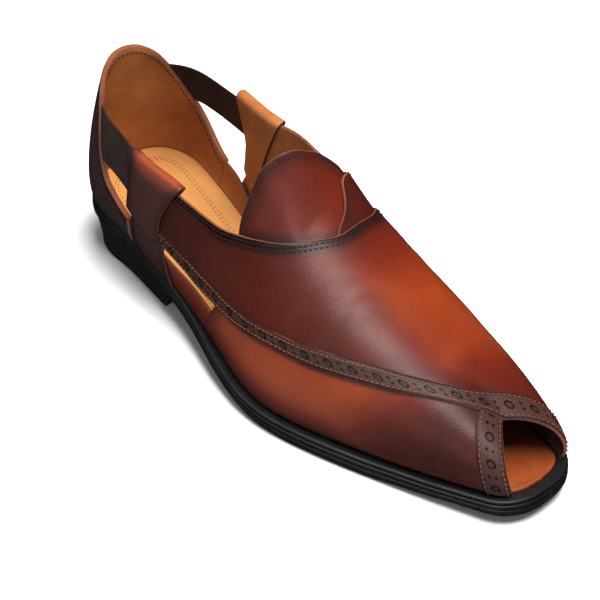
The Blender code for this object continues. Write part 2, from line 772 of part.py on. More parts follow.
def plate(name, fractions, levels, material):
    """A solid of stacked outlines from the bottom up, closed by strips across both ends.
    An outline that ends in a point shares that point between its two sides."""
    loops = [outline_loop(fractions, outward, height) for outward, height in levels]
    count = len(fractions)
    points = []
    index = np.zeros((len(loops), 2, count), dtype=int)
    for level, loop in enumerate(loops):
        for s in range(2):
            for j in range(count):
                meets = s == 1 and np.linalg.norm(loop[0, j] - loop[1, j]) < 1e-5
                if meets:
                    index[level, s, j] = index[level, 0, j]
                    continue
                index[level, s, j] = len(points)
                points.append(loop[s, j])
    faces = []

    def add(*corners):
        kept = [c for k, c in enumerate(corners) if c != corners[k - 1]]
        if len(set(kept)) >= 3:
            faces.append(tuple(kept))

    for k in range(len(loops) - 1):
        low, high = index[k], index[k + 1]
        for j in range(count - 1):
            add(low[0, j], low[0, j + 1], high[0, j + 1], high[0, j])
            add(low[1, j + 1], low[1, j], high[1, j], high[1, j + 1])
        add(low[0, -1], low[1, -1], high[1, -1], high[0, -1])
        add(low[1, 0], low[0, 0], high[0, 0], high[1, 0])
    for j in range(count - 1):
        add(index[0][1, j], index[0][1, j + 1], index[0][0, j + 1], index[0][0, j])
        add(index[-1][0, j], index[-1][0, j + 1], index[-1][1, j + 1], index[-1][1, j])
    return add_object(name, points, faces, material)


def make_insole(leather):
    fractions = np.linspace(0.0, 1.0, SIDE_STATIONS + 1)
    inset = -(COUNTER_WALL + 1.5 * GAP)
    flat = np.full(len(fractions), inset)
    levels = [
        (flat, insole_bottom),
        (flat, lambda y: insole_top(y) - 0.25 * INSOLE_THICKNESS),
        (flat - 0.15 * INSOLE_THICKNESS, insole_top),
    ]
    return plate("insole", fractions, levels, leather)


def make_outsole(rubber):
    fractions = np.linspace(0.0, 1.0, SIDE_STATIONS + 1)
    out = ledge(station_at(fractions))

    def between(share):
        return lambda y: underside(y) + (sole_top(y) - underside(y)) * share

    levels = [
        (out - 0.12 * SOLE_THICKNESS, underside),
        (out - 0.02 * SOLE_THICKNESS, between(0.22)),
        (out, between(0.60)),
        (out - 0.01 * SOLE_THICKNESS, between(0.90)),
        (out - 0.05 * SOLE_THICKNESS, sole_top),
    ]
    return plate("outsole", fractions, levels, rubber)


def make_welt(rubber):
    """A ring under the foot of the upper, with a rounded outer edge."""
    fractions = np.linspace(0.0, 1.0, SIDE_STATIONS + 1)
    out = ledge(station_at(fractions)) - 0.12 * WELT_THICKNESS
    inner = np.full(len(fractions), -(COUNTER_WALL + 0.5 * GAP))

    def level(share):
        return lambda y: welt_bottom(y) + WELT_THICKNESS * share

    section = (
        (inner, 0.0),
        (out - 0.20 * WELT_THICKNESS, 0.0),
        (out, 0.30),
        (out, 0.65),
        (out - 0.20 * WELT_THICKNESS, 1.0),
        (inner, 1.0),
    )
    rings = []
    for outward, share in section:
        lateral, medial = outline_loop(fractions, outward, level(share))
        rings.append(np.concatenate([lateral, medial[-2:0:-1]]))
    count = len(rings[0])
    points = np.concatenate(rings)
    faces = []
    for k in range(len(section)):
        following = (k + 1) % len(section)
        for j in range(count):
            ahead = (j + 1) % count
            faces.append((k * count + j, k * count + ahead, following * count + ahead, following * count + j))
    return add_object("welt", points, faces, rubber)


def heel_inset(y):
    """How far the heel's foot is set in: most at the back, less at the sides."""
    forward = smooth_step(y / (0.4 * HEEL_BREAST * LENGTH))
    return HEEL_TAPER_BACK + (HEEL_TAPER_SIDE - HEEL_TAPER_BACK) * forward


def heel_fractions():
    return np.linspace(0.0, 1.0, 17) * float(fraction_at(HEEL_BREAST * LENGTH))


def make_heel(rubber):
    fractions = heel_fractions()
    y = station_at(fractions)
    out = ledge(y)
    levels = [
        (out - heel_inset(y), TOP_PIECE_THICKNESS + GAP),
        (out - 0.12 * SOLE_THICKNESS, lambda at: underside(at) - GAP),
    ]
    return plate("heel", fractions, levels, rubber)


def make_heel_top_piece(rubber):
    fractions = heel_fractions()
    y = station_at(fractions)
    foot = ledge(y) - heel_inset(y)
    levels = [
        (foot - 0.15 * TOP_PIECE_THICKNESS, 0.0),
        (foot, 0.15 * TOP_PIECE_THICKNESS),
        (foot, TOP_PIECE_THICKNESS),
    ]
    return plate("heel_top_piece", fractions, levels, rubber)


def settle_origin(pieces):
    """Moves every piece so that the origin is under the middle of the whole shoe."""
    low = np.full(3, np.inf)
    high = np.full(3, -np.inf)
    for item in pieces:
        corners = np.array([vertex.co for vertex in item.data.vertices])
        low = np.minimum(low, corners.min(axis=0))
        high = np.maximum(high, corners.max(axis=0))
    for item in pieces:
        item.location = (-(low[0] + high[0]) / 2.0, -(low[1] + high[1]) / 2.0, 0.0)


def main():
    clear_scene()
    upper_leather = new_material("upper_leather", (0.23, 0.06, 0.02), 0.38)
    tongue_leather = new_material("tongue_leather", (0.20, 0.05, 0.018), 0.40)
    insole_leather = new_material("insole_leather", (0.72, 0.36, 0.12), 0.55)
    keeper_leather = new_material("keeper_leather", (0.14, 0.045, 0.025), 0.42)
    elastic_webbing = new_material("elastic_webbing", (0.025, 0.012, 0.010), 0.85)
    sole_rubber = new_material("sole_rubber", (0.012, 0.012, 0.013), 0.45)
    heel_rubber = new_material("heel_rubber", (0.014, 0.014, 0.015), 0.60)
    make_upper(upper_leather)
    make_tongue(tongue_leather)
    make_insole(insole_leather)
    make_outsole(sole_rubber)
    make_welt(sole_rubber)
    make_heel(heel_rubber)
    make_heel_top_piece(heel_rubber)
    medial_tunnel = (MEDIAL_TUNNEL_HEIGHT, MEDIAL_TUNNEL_RISE)
    make_keeper("keeper_lateral", LATERAL_KEEPER, LATERAL_SEAM, (LATERAL_TUNNEL_HEIGHT, 0.0), 1, keeper_leather)
    make_keeper("keeper_medial", MEDIAL_KEEPER, MEDIAL_SEAM, medial_tunnel, -1, keeper_leather)
    make_elastic("elastic_lateral", LATERAL_ELASTIC, 1, elastic_webbing)
    make_elastic("elastic_medial", MEDIAL_ELASTIC, -1, elastic_webbing)
    settle_origin([item for item in bpy.data.objects if item.type == "MESH"])


main()
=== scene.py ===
import math

import bpy
import numpy as np
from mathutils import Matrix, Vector


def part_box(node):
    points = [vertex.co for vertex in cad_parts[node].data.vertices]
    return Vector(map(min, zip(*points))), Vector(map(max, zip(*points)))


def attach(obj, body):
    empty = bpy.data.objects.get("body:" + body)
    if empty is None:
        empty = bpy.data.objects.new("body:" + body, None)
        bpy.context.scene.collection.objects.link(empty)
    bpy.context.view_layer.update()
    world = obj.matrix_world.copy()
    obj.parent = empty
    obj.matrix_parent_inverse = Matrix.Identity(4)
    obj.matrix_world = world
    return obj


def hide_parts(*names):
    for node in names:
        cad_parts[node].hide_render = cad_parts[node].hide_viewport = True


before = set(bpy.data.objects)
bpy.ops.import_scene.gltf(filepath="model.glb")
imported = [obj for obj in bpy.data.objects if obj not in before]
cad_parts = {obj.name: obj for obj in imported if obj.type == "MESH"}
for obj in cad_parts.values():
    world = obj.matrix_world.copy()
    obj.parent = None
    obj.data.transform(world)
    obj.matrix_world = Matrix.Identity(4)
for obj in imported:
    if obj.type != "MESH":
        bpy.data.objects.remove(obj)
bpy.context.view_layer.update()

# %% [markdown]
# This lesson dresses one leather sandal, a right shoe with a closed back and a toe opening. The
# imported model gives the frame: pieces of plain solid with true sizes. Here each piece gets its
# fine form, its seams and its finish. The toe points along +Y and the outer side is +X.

# %% [markdown]
# The leather was pulled over a last, so every panel is a patch of one surface. The driving sizes
# and the short tables of the last are the ones that the solids were made from.

# %% Driving sizes in metres
LENGTH = 0.300
BALL_WIDTH = 0.0986
HEEL_HEIGHT = 0.0225
TOE_SPRING = 0.0055
SOLE_THICKNESS = 0.0100
INSTEP_HEIGHT = 0.0960
COUNTER_HEIGHT = 0.0745
RIM_HEIGHT = 0.0150
HEEL_LEDGE = 0.0010
TOE_LEDGE = 0.0035
VAMP_LEATHER = 0.0015
UNDER_LEATHER = 0.0018
RIM_LEATHER = 0.0014
LAP_DEPTH = 0.0004
COUNTER_WALL = 0.0030
TONGUE_LEATHER = 0.0014
TONGUE_RISE = 0.0045
STRAP_LEATHER = 0.0014
TUNNEL_CLEARANCE = 0.0005
LATERAL_TUNNEL_HEIGHT = 0.0590
MEDIAL_TUNNEL_HEIGHT = 0.0705
MEDIAL_TUNNEL_RISE = 0.0030
LATERAL_ELASTIC_WIDTH = 0.0250
MEDIAL_ELASTIC_WIDTH = 0.0215
ELASTIC_THICKNESS = 0.0008
WELT_THICKNESS = 0.0024
INSOLE_THICKNESS = 0.0040
TOP_PIECE_THICKNESS = 0.0045
GAP = 0.0003

# %% The last's outline, side and sections
# Station, centre and half width of the feather edge as shares of the ball width.
FEATHER_OUTLINE = (
    (0.040, 0.010, 0.335),
    (0.133, 0.030, 0.309),
    (0.233, 0.081, 0.299),
    (0.333, 0.127, 0.298),
    (0.433, 0.137, 0.365),
    (0.533, 0.101, 0.461),
    (0.633, 0.061, 0.464),
    (0.717, 0.033, 0.421),
    (0.800, 0.015, 0.355),
    (0.883, -0.002, 0.284),
    (0.960, -0.020, 0.213),
)
HEEL_ROUND = 0.113
HEEL_POWER = 2.2
TOE_ROUND = 0.047
TOE_POWER = 2.65

# Station, underside height as shares of the heel height and of the toe spring, and thickness
# of sole and welt together as a share of the sole thickness.
SOLE_SIDE = (
    (0.000, 1.000, 0.00, 0.95),
    (0.133, 0.870, 0.00, 0.94),
    (0.250, 0.675, 0.00, 0.92),
    (0.300, 0.580, 0.00, 0.88),
    (0.350, 0.490, 0.00, 0.82),
    (0.400, 0.390, 0.00, 0.77),
    (0.500, 0.160, 0.00, 0.82),
    (0.567, 0.030, 0.00, 0.95),
    (0.617, 0.000, 0.00, 1.00),
    (0.750, 0.000, 0.00, 1.06),
    (0.800, 0.000, 0.20, 1.02),
    (0.850, 0.000, 0.45, 0.96),
    (0.900, 0.000, 0.73, 0.93),
    (0.950, 0.000, 0.88, 0.98),
    (1.000, 0.000, 1.00, 1.11),
)

# Station, sideways place of the ridge as a share of the ball width, its height over the
# feather edge as a share of the instep height, the fullness of the lateral and medial walls,
# and their outward swell as shares of the ball width.
LAST_SECTIONS = (
    (0.090, -0.010, 1.515, 1.27, 1.27, 0.050, 0.020),
    (0.200, -0.030, 1.370, 1.60, 1.85, 0.065, 0.070),
    (0.267, -0.050, 1.300, 2.00, 2.40, 0.026, 0.048),
    (0.367, -0.076, 1.157, 2.15, 2.50, 0.022, 0.060),
    (0.450, -0.076, 1.000, 2.05, 2.35, 0.020, 0.040),
    (0.533, -0.056, 0.815, 2.12, 2.15, 0.024, 0.022),
    (0.633, -0.032, 0.672, 2.22, 2.20, 0.029, 0.024),
    (0.733, -0.016, 0.537, 2.37, 2.45, 0.029, 0.036),
    (0.833, -0.010, 0.408, 2.48, 2.70, 0.033, 0.056),
    (0.927, -0.012, 0.230, 2.55, 2.75, 0.016, 0.026),
)
HEEL_RAKE = 0.090
HEEL_RAKE_START = 0.250
TOE_RAKE = 0.062
TOE_RAKE_START = 0.783
RAKE_LAG = 0.12
SWELL_PEAK = 2.6
SWELL_POWER = 0.6
# Where the sole's ledge starts to widen, and over what share of the length.
LEDGE_START = 0.30
LEDGE_RUN = 0.133

# %% Edges of the panels on the last
# Station and turn along the edges of the vamp: the brogued lateral edge from the end of the
# wing to the peak of the toe opening, and the throat from the same end to the medial waist.
VAMP_LATERAL_EDGE = (
    (0.237, 0.088),
    (0.250, 0.068),
    (0.267, 0.050),
    (0.340, 0.047),
    (0.437, 0.076),
    (0.553, 0.139),
    (0.653, 0.181),
    (0.747, 0.248),
    (0.833, 0.344),
    (0.900, 0.425),
    (0.963, 0.500),
)
VAMP_THROAT_EDGE = (
    (0.237, 0.140),
    (0.287, 0.142),
    (0.327, 0.147),
    (0.367, 0.160),
    (0.428, 0.210),
    (0.487, 0.285),
    (0.528, 0.375),
    (0.553, 0.480),
    (0.549, 0.580),
    (0.524, 0.700),
    (0.487, 0.810),
    (0.443, 0.902),
    (0.403, 0.960),
    (0.367, 1.000),
)
TOE_OPENING_MEDIAL = (0.971, 1.000)
VAMP_FEATHER_START = 0.400

# Station and turn of the lateral toe panel's hidden top edge, under the vamp.
TOE_PANEL_TOP = (
    (0.440, 0.125),
    (0.553, 0.185),
    (0.653, 0.232),
    (0.747, 0.300),
    (0.833, 0.395),
    (0.900, 0.465),
    (0.960, 0.530),
)
TOE_PANEL_REAR = 0.380
TOE_OPENING_LATERAL = 0.973

# Station and turn of the medial wing's top edge and of its lower edge, which runs under the
# vamp from the waist forward.
MEDIAL_WING_TOP = (
    (0.257, 0.852),
    (0.285, 0.836),
    (0.310, 0.822),
    (0.335, 0.808),
    (0.360, 0.797),
    (0.400, 0.785),
    (0.443, 0.761),
    (0.475, 0.665),
    (0.494, 0.578),
    (0.518, 0.542),
    (0.534, 0.505),
    (0.546, 0.468),
    (0.566, 0.420),
)
MEDIAL_WING_LOW = (
    (0.257, 0.956),
    (0.290, 0.966),
    (0.330, 0.981),
    (0.360, 0.997),
    (0.410, 0.985),
    (0.480, 0.900),
    (0.556, 0.720),
    (0.590, 0.560),
    (0.600, 0.450),
)

# Station and height of the counter's lateral and medial top edge as shares of its height.
COUNTER_TOP = (
    (0.003, 1.000, 1.000),
    (0.007, 0.985, 0.985),
    (0.013, 0.965, 0.950),
    (0.027, 0.930, 0.870),
    (0.043, 0.880, 0.745),
    (0.057, 0.800, 0.640),
    (0.070, 0.680, 0.555),
    (0.080, 0.560, 0.500),
    (0.093, 0.440, 0.440),
    (0.106, 0.350, 0.380),
    (0.127, 0.275, 0.300),
    (0.150, 0.225, 0.235),
    (0.170, 0.205, 0.205),
)
COUNTER_END = 0.170
# Station and height of the lateral and medial rim as shares of the rim height.
RIM_TOP = (
    (0.140, 1.08, 1.00),
    (0.170, 1.06, 1.00),
    (0.200, 0.98, 0.98),
    (0.240, 0.87, 0.80),
    (0.280, 0.84, 0.60),
    (0.320, 0.89, 0.58),
    (0.360, 0.93, 0.58),
    (0.400, 0.96, 0.58),
)

# Turn and station of the tongue's rounded rear end.
TONGUE_TIP = (
    (0.160, 0.430),
    (0.230, 0.413),
    (0.310, 0.412),
    (0.390, 0.422),
    (0.450, 0.433),
    (0.520, 0.449),
    (0.600, 0.461),
    (0.680, 0.464),
    (0.780, 0.466),
    (0.850, 0.472),
)
TONGUE_FRONT = 0.610
TONGUE_COVERED = 0.515

# Share of the tunnel's height, and stations of a keeper's rear edge outside, of its front edge
# and of its rear edge inside.
LATERAL_KEEPER = (
    (0.00, 0.188, 0.290, 0.190),
    (0.20, 0.182, 0.268, 0.184),
    (0.38, 0.180, 0.254, 0.183),
    (0.58, 0.180, 0.256, 0.190),
    (0.82, 0.178, 0.272, 0.184),
    (1.00, 0.177, 0.290, 0.177),
)
MEDIAL_KEEPER = (
    (0.00, 0.205, 0.312, 0.212),
    (0.20, 0.207, 0.288, 0.220),
    (0.38, 0.209, 0.278, 0.237),
    (0.58, 0.210, 0.284, 0.238),
    (0.82, 0.211, 0.300, 0.222),
    (1.00, 0.212, 0.316, 0.212),
)
# Height share of the seam that closes each tunnel, at its rear and front edges.
LATERAL_SEAM = (0.45, 0.33)
MEDIAL_SEAM = (0.40, 0.225)

# Station and height over the floor, as a share of the instep height, of the middle of each
# elastic at its rear and front ends.
LATERAL_ELASTIC = ((0.032, 0.850), (0.221, 0.720))
MEDIAL_ELASTIC = ((0.032, 0.810), (0.247, 0.845))
ELASTIC_REAR_SLANT = 0.014

HEEL_BREAST = 0.253
HEEL_TAPER_BACK = 0.0045
HEEL_TAPER_SIDE = 0.0030

# %% [markdown]
# A table with a few rows becomes a curve that passes through each of them. One kind of curve never
# overshoots, for levels and sections, and the other stays fair, for the outline seen from above.

# %% Curves through tables
def smooth_step(value):
    value = np.clip(value, 0.0, 1.0)
    return value * value * (3.0 - 2.0 * value)


def smooth_between(value, low, high):
    return smooth_step((value - low) / (high - low))


def unit(vectors):
    return vectors / np.linalg.norm(vectors, axis=-1, keepdims=True)


def reach_along(line):
    """Distance along a line of points from the first to each of them."""
    return np.concatenate([[0.0], np.cumsum(np.linalg.norm(np.diff(line, axis=0), axis=1))])


def steady_slopes(x, y):
    """Slopes that never overshoot, so level stretches stay level."""
    step = np.diff(x)
    rise = np.diff(y) / step
    slopes = np.zeros_like(y)
    slopes[0] = rise[0]
    slopes[-1] = rise[-1]
    for i in range(1, len(x) - 1):
        if rise[i - 1] * rise[i] > 0.0:
            before = 2.0 * step[i] + step[i - 1]
            after = step[i] + 2.0 * step[i - 1]
            slopes[i] = (before + after) / (before / rise[i - 1] + after / rise[i])
    return slopes


def natural_slopes(x, y):
    """Slopes of the natural cubic spline, for outlines that must stay fair."""
    count = len(x)
    step = np.diff(x)
    rise = np.diff(y) / step
    matrix = np.zeros((count, count))
    target = np.zeros(count)
    matrix[0, :2] = (2.0, 1.0)
    target[0] = 3.0 * rise[0]
    matrix[-1, -2:] = (1.0, 2.0)
    target[-1] = 3.0 * rise[-1]
    for i in range(1, count - 1):
        matrix[i, i - 1] = step[i]
        matrix[i, i] = 2.0 * (step[i - 1] + step[i])
        matrix[i, i + 1] = step[i - 1]
        target[i] = 3.0 * (step[i] * rise[i - 1] + step[i - 1] * rise[i])
    return np.linalg.solve(matrix, target)


def curve_through(table, column, slopes=steady_slopes):
    """A smooth function of the table's first column that passes through another column."""
    x = np.array([row[0] for row in table], dtype=float)
    y = np.array([row[column] for row in table], dtype=float)
    tangent = slopes(x, y)

    def value(at):
        at = np.asarray(at, dtype=float)
        i = np.clip(np.searchsorted(x, at) - 1, 0, len(x) - 2)
        width = x[i + 1] - x[i]
        s = (at - x[i]) / width
        inside = np.clip(s, 0.0, 1.0)
        h00 = (1.0 + 2.0 * inside) * (1.0 - inside) ** 2
        h10 = inside * (1.0 - inside) ** 2
        h01 = inside**2 * (3.0 - 2.0 * inside)
        h11 = inside**2 * (inside - 1.0)
        shape = h00 * y[i] + h01 * y[i + 1] + (h10 * tangent[i] + h11 * tangent[i + 1]) * width
        ends = np.where(s < 0.0, tangent[i], tangent[i + 1])
        return shape + (s - inside) * width * ends

    return value


outline_centre = curve_through(FEATHER_OUTLINE, 1, natural_slopes)
outline_half = curve_through(FEATHER_OUTLINE, 2, natural_slopes)
heel_lift = curve_through(SOLE_SIDE, 1)
toe_lift = curve_through(SOLE_SIDE, 2)
sole_depth = curve_through(SOLE_SIDE, 3)
ridge_side = curve_through(LAST_SECTIONS, 1)
ridge_rise = curve_through(LAST_SECTIONS, 2)
wall_fullness = {1: curve_through(LAST_SECTIONS, 3), -1: curve_through(LAST_SECTIONS, 4)}
wall_swell = {1: curve_through(LAST_SECTIONS, 5), -1: curve_through(LAST_SECTIONS, 6)}
counter_top = {1: curve_through(COUNTER_TOP, 1), -1: curve_through(COUNTER_TOP, 2)}
rim_share = {1: curve_through(RIM_TOP, 1), -1: curve_through(RIM_TOP, 2)}
tongue_tip = curve_through(TONGUE_TIP, 1)

HEEL_END = HEEL_LEDGE
TOE_END = LENGTH - TOE_LEDGE

# %% [markdown]
# The last's surface is a function of two shares: the station from heel to toe and the turn over
# the foot, from 0 at the lateral edge through 0.5 on the ridge to 1 at the medial edge.

# %% The last's surface
def underside(y):
    """Height of the sole's underside, without the heel."""
    share = np.clip(np.asarray(y) / LENGTH, 0.0, 1.0)
    return HEEL_HEIGHT * heel_lift(share) + TOE_SPRING * toe_lift(share)


def feather(y):
    """Height of the feather edge, where the upper meets the welt."""
    share = np.clip(np.asarray(y) / LENGTH, 0.0, 1.0)
    return underside(y) + SOLE_THICKNESS * sole_depth(share)


def welt_top(y):
    return feather(y) - GAP


def welt_bottom(y):
    return welt_top(y) - WELT_THICKNESS


def sole_top(y):
    return welt_bottom(y) - GAP


def insole_bottom(y):
    return sole_top(y) + GAP


def insole_top(y):
    return insole_bottom(y) + INSOLE_THICKNESS


def feather_half_width(y):
    """Half width of the feather outline, rounded in at the heel and the squared toe."""
    from_heel = np.clip((y - HEEL_END) / (HEEL_ROUND * LENGTH), 0.0, 1.0)
    from_toe = np.clip((TOE_END - y) / (TOE_ROUND * LENGTH), 0.0, 1.0)
    heel = (1.0 - (1.0 - from_heel) ** HEEL_POWER) ** (1.0 / HEEL_POWER)
    toe = (1.0 - (1.0 - from_toe) ** TOE_POWER) ** (1.0 / TOE_POWER)
    return outline_half(y / LENGTH) * BALL_WIDTH * heel * toe


def station_at(fraction):
    """Length along the shoe, closely spaced near both ends."""
    return HEEL_END + (TOE_END - HEEL_END) * (1.0 - np.cos(np.pi * fraction)) / 2.0


def fraction_at(y):
    share = np.clip((y - HEEL_END) / (TOE_END - HEEL_END), 0.0, 1.0)
    return np.arccos(1.0 - 2.0 * share) / np.pi


def feather_point(fraction, side):
    y = station_at(fraction)
    x = outline_centre(y / LENGTH) * BALL_WIDTH + side * feather_half_width(y)
    return np.stack([x, y], axis=-1)


def plan_normal(fraction, side):
    """Outward direction of the feather outline, seen from above."""
    step = 0.002
    fraction = np.asarray(fraction, dtype=float)
    side = np.broadcast_to(side, fraction.shape)
    ahead = feather_point(np.clip(fraction + step, 0.0, 1.0), side)
    behind = feather_point(np.clip(fraction - step, 0.0, 1.0), side)
    run = ahead - behind
    normal = np.stack([run[..., 1], -run[..., 0]], axis=-1) * side[..., None]
    normal[..., 0] = np.where((fraction < 1e-6) | (fraction > 1.0 - 1e-6), 0.0, normal[..., 0])
    return unit(normal)


def edge_point(fraction, side, outward):
    """A point of the feather outline moved outward along its plan normal."""
    return feather_point(fraction, side) + plan_normal(fraction, side) * np.asarray(outward)[..., None]


def ledge(y):
    """How far the sole stands out past the feather edge."""
    share = np.clip((y / LENGTH - LEDGE_START) / LEDGE_RUN, 0.0, 1.0)
    return HEEL_LEDGE + (TOE_LEDGE - HEEL_LEDGE) * share


def ridge_station(y):
    """Where the ridge is met by the section that starts at a feather station."""
    toe = smooth_step((y / LENGTH - TOE_RAKE_START) / (TOE_END / LENGTH - TOE_RAKE_START))
    heel = smooth_step((HEEL_RAKE_START - y / LENGTH) / (HEEL_RAKE_START - HEEL_END / LENGTH))
    return y + LENGTH * (HEEL_RAKE * heel - TOE_RAKE * toe)


def section_fullness(y, side):
    share = ridge_station(y) / LENGTH
    return np.where(side > 0, wall_fullness[1](share), wall_fullness[-1](share))


def ridge_height(y):
    share = ridge_station(y) / LENGTH
    return feather(ridge_station(y)) + ridge_rise(share) * INSTEP_HEIGHT


def last_point(fraction, turn):
    """A point of the lasted surface."""
    fraction = np.clip(fraction, 0.0, 1.0)
    turn = np.clip(turn, 0.0, 1.0)
    side = np.where(turn <= 0.5, 1.0, -1.0)
    angle = np.pi * np.where(turn <= 0.5, turn, 1.0 - turn)
    y = station_at(fraction)
    top_y = ridge_station(y)
    power = 2.0 / section_fullness(y, side)
    inward = 1.0 - np.clip(np.cos(angle), 0.0, 1.0) ** power
    upward = np.clip(np.sin(angle), 0.0, 1.0) ** power
    centre = outline_centre(y / LENGTH) * BALL_WIDTH
    top_x = ridge_side(top_y / LENGTH) * BALL_WIDTH
    x = centre + (top_x - centre) * upward + side * feather_half_width(y) * (1.0 - inward)
    forward = inward * (1.0 - RAKE_LAG) + RAKE_LAG * upward
    low = feather(y)
    z = low + (ridge_height(y) - low) * upward
    share = top_y / LENGTH
    swell = np.where(side > 0, wall_swell[1](share), wall_swell[-1](share)) * BALL_WIDTH
    swell = swell * SWELL_PEAK * upward**SWELL_POWER * (1.0 - upward)
    out = plan_normal(fraction, side) * swell[..., None]
    return np.stack([x + out[..., 0], y + (top_y - y) * forward + out[..., 1], z], axis=-1)


def last_surface(stations, turns):
    """Points and outward normals of the lasted surface."""
    fraction = fraction_at(np.asarray(stations) * LENGTH)
    turns = np.asarray(turns, dtype=float)
    point = last_point(fraction, turns)
    near = np.where(turns <= 0.5, 0.0, 1.0)
    wraps = (fraction < 1e-6) | (fraction > 1.0 - 1e-6)
    along = last_point(fraction + 0.004, turns) - last_point(fraction - 0.004, turns)
    around = last_point(fraction, turns + 0.008) - last_point(fraction, turns - 0.008)
    normal = np.cross(along, around)
    normal[..., 0] = np.where(wraps & (abs(turns - near) < 0.45), 0.0, normal[..., 0])
    return point, unit(normal)


def turn_at_height(stations, side, height):
    """The turn at which a wall reaches a height over the floor."""
    y = np.asarray(stations) * LENGTH
    low = feather(y)
    share = np.clip((height - low) / (ridge_height(y) - low), 0.0, 1.0)
    angle = np.arcsin(share ** (section_fullness(y, side) / 2.0)) / np.pi
    return np.where(np.asarray(side) > 0, angle, 1.0 - angle)


def points_along(table, count, start=0.0, stop=1.0):
    """Evenly spaced places along a smooth edge through a table of stations and turns."""
    rows = np.array(table, dtype=float)
    reach = reach_along(rows)
    reach = reach / reach[-1]
    keyed = [(reach[i], rows[i, 0], rows[i, 1]) for i in range(len(rows))]
    at = np.linspace(start, stop, count)
    return np.stack([curve_through(keyed, 1)(at), curve_through(keyed, 2)(at)], axis=-1)


def ruled(first, second, count):
    """A grid of places between two edges with the same number of points."""
    blend = np.linspace(0.0, 1.0, count)[None, :, None]
    return first[:, None, :] * (1.0 - blend) + second[:, None, :] * blend

# %% [markdown]
# The frame has been moved so that its origin lies under the middle of the shoe. The tables above
# count from the back of the heel instead. One offset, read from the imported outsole, brings every
# new piece to the right place.

# %% Find the offset to the frame
outsole_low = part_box("outsole")[0]
edge_fractions = np.linspace(0.0, 1.0, 401)
edge_ledge = ledge(station_at(edge_fractions))
side_lows = [edge_point(edge_fractions, side, edge_ledge).min(axis=0) for side in (1.0, -1.0)]
rim_low = np.min(side_lows, axis=0)
OFFSET = np.array([outsole_low.x - rim_low[0], outsole_low.y - rim_low[1], 0.0])
print("offset to the frame", np.round(OFFSET, 4))

# %% [markdown]
# Leather is thin, and its cut edge shows. So every panel here is a grid of points on its outer
# face, the same grid a wall's thickness further in, and a few rings round the border that swell
# out slightly. Solidify and Bevel modifiers could do this too, but arrays keep the panels' true
# depths. The three parts get three materials: grain side, lining and raw edge.

# %% Build meshes from arrays
EDGE_RINGS = ((0.10, 0.55), (0.32, 0.95), (0.68, 0.95), (0.90, 0.55))
EDGE_SWELL = 0.30


def in_scene(item):
    bpy.context.scene.collection.objects.link(item)
    return item


def add_piece(name, points, quads, slots, materials, values, slot):
    """An object from arrays of points, four-cornered faces and the material number of each."""
    mesh = bpy.data.meshes.new(name)
    mesh.vertices.add(len(points))
    mesh.vertices.foreach_set("co", (points + OFFSET).astype(np.float32).ravel())
    mesh.loops.add(quads.size)
    mesh.loops.foreach_set("vertex_index", quads.astype(np.int32).ravel())
    mesh.polygons.add(len(quads))
    mesh.polygons.foreach_set("loop_start", np.arange(len(quads), dtype=np.int32) * 4)
    for material in materials:
        mesh.materials.append(material)
    mesh.polygons.foreach_set("material_index", slots.astype(np.int32))
    mesh.update(calc_edges=True)
    for key, array in values.items():
        if array.ndim == 1:
            layer = mesh.attributes.new(key, "FLOAT", "POINT")
            layer.data.foreach_set("value", array.astype(np.float32))
        else:
            layer = mesh.attributes.new(key, "FLOAT_VECTOR", "POINT")
            layer.data.foreach_set("vector", array.astype(np.float32).ravel())
    mesh.shade_smooth()
    item = in_scene(bpy.data.objects.new(name, mesh))
    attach(item, "root")
    print(name, len(quads), "faces")
    return item


def grid_cells(number):
    """Four-cornered faces of a grid of point numbers."""
    corners = [number[:-1, :-1], number[1:, :-1], number[1:, 1:], number[:-1, 1:]]
    return np.stack(corners, axis=-1).reshape(-1, 4)


def cells_round(low, high):
    """Four-cornered faces between closed rows of point numbers."""
    corners = [low, np.roll(low, -1, axis=-1), np.roll(high, -1, axis=-1), high]
    return np.stack(corners, axis=-1).reshape(-1, 4)


def border_of(rows, columns):
    """Row and column numbers once round the border of a grid."""
    i = np.concatenate([np.zeros(columns - 1, int), np.arange(rows - 1),
                        np.full(columns - 1, rows - 1), np.arange(rows - 1, 0, -1)])
    j = np.concatenate([np.arange(columns - 1), np.full(rows - 1, columns - 1),
                        np.arange(columns - 1, 0, -1), np.zeros(rows - 1, int)])
    return i, j


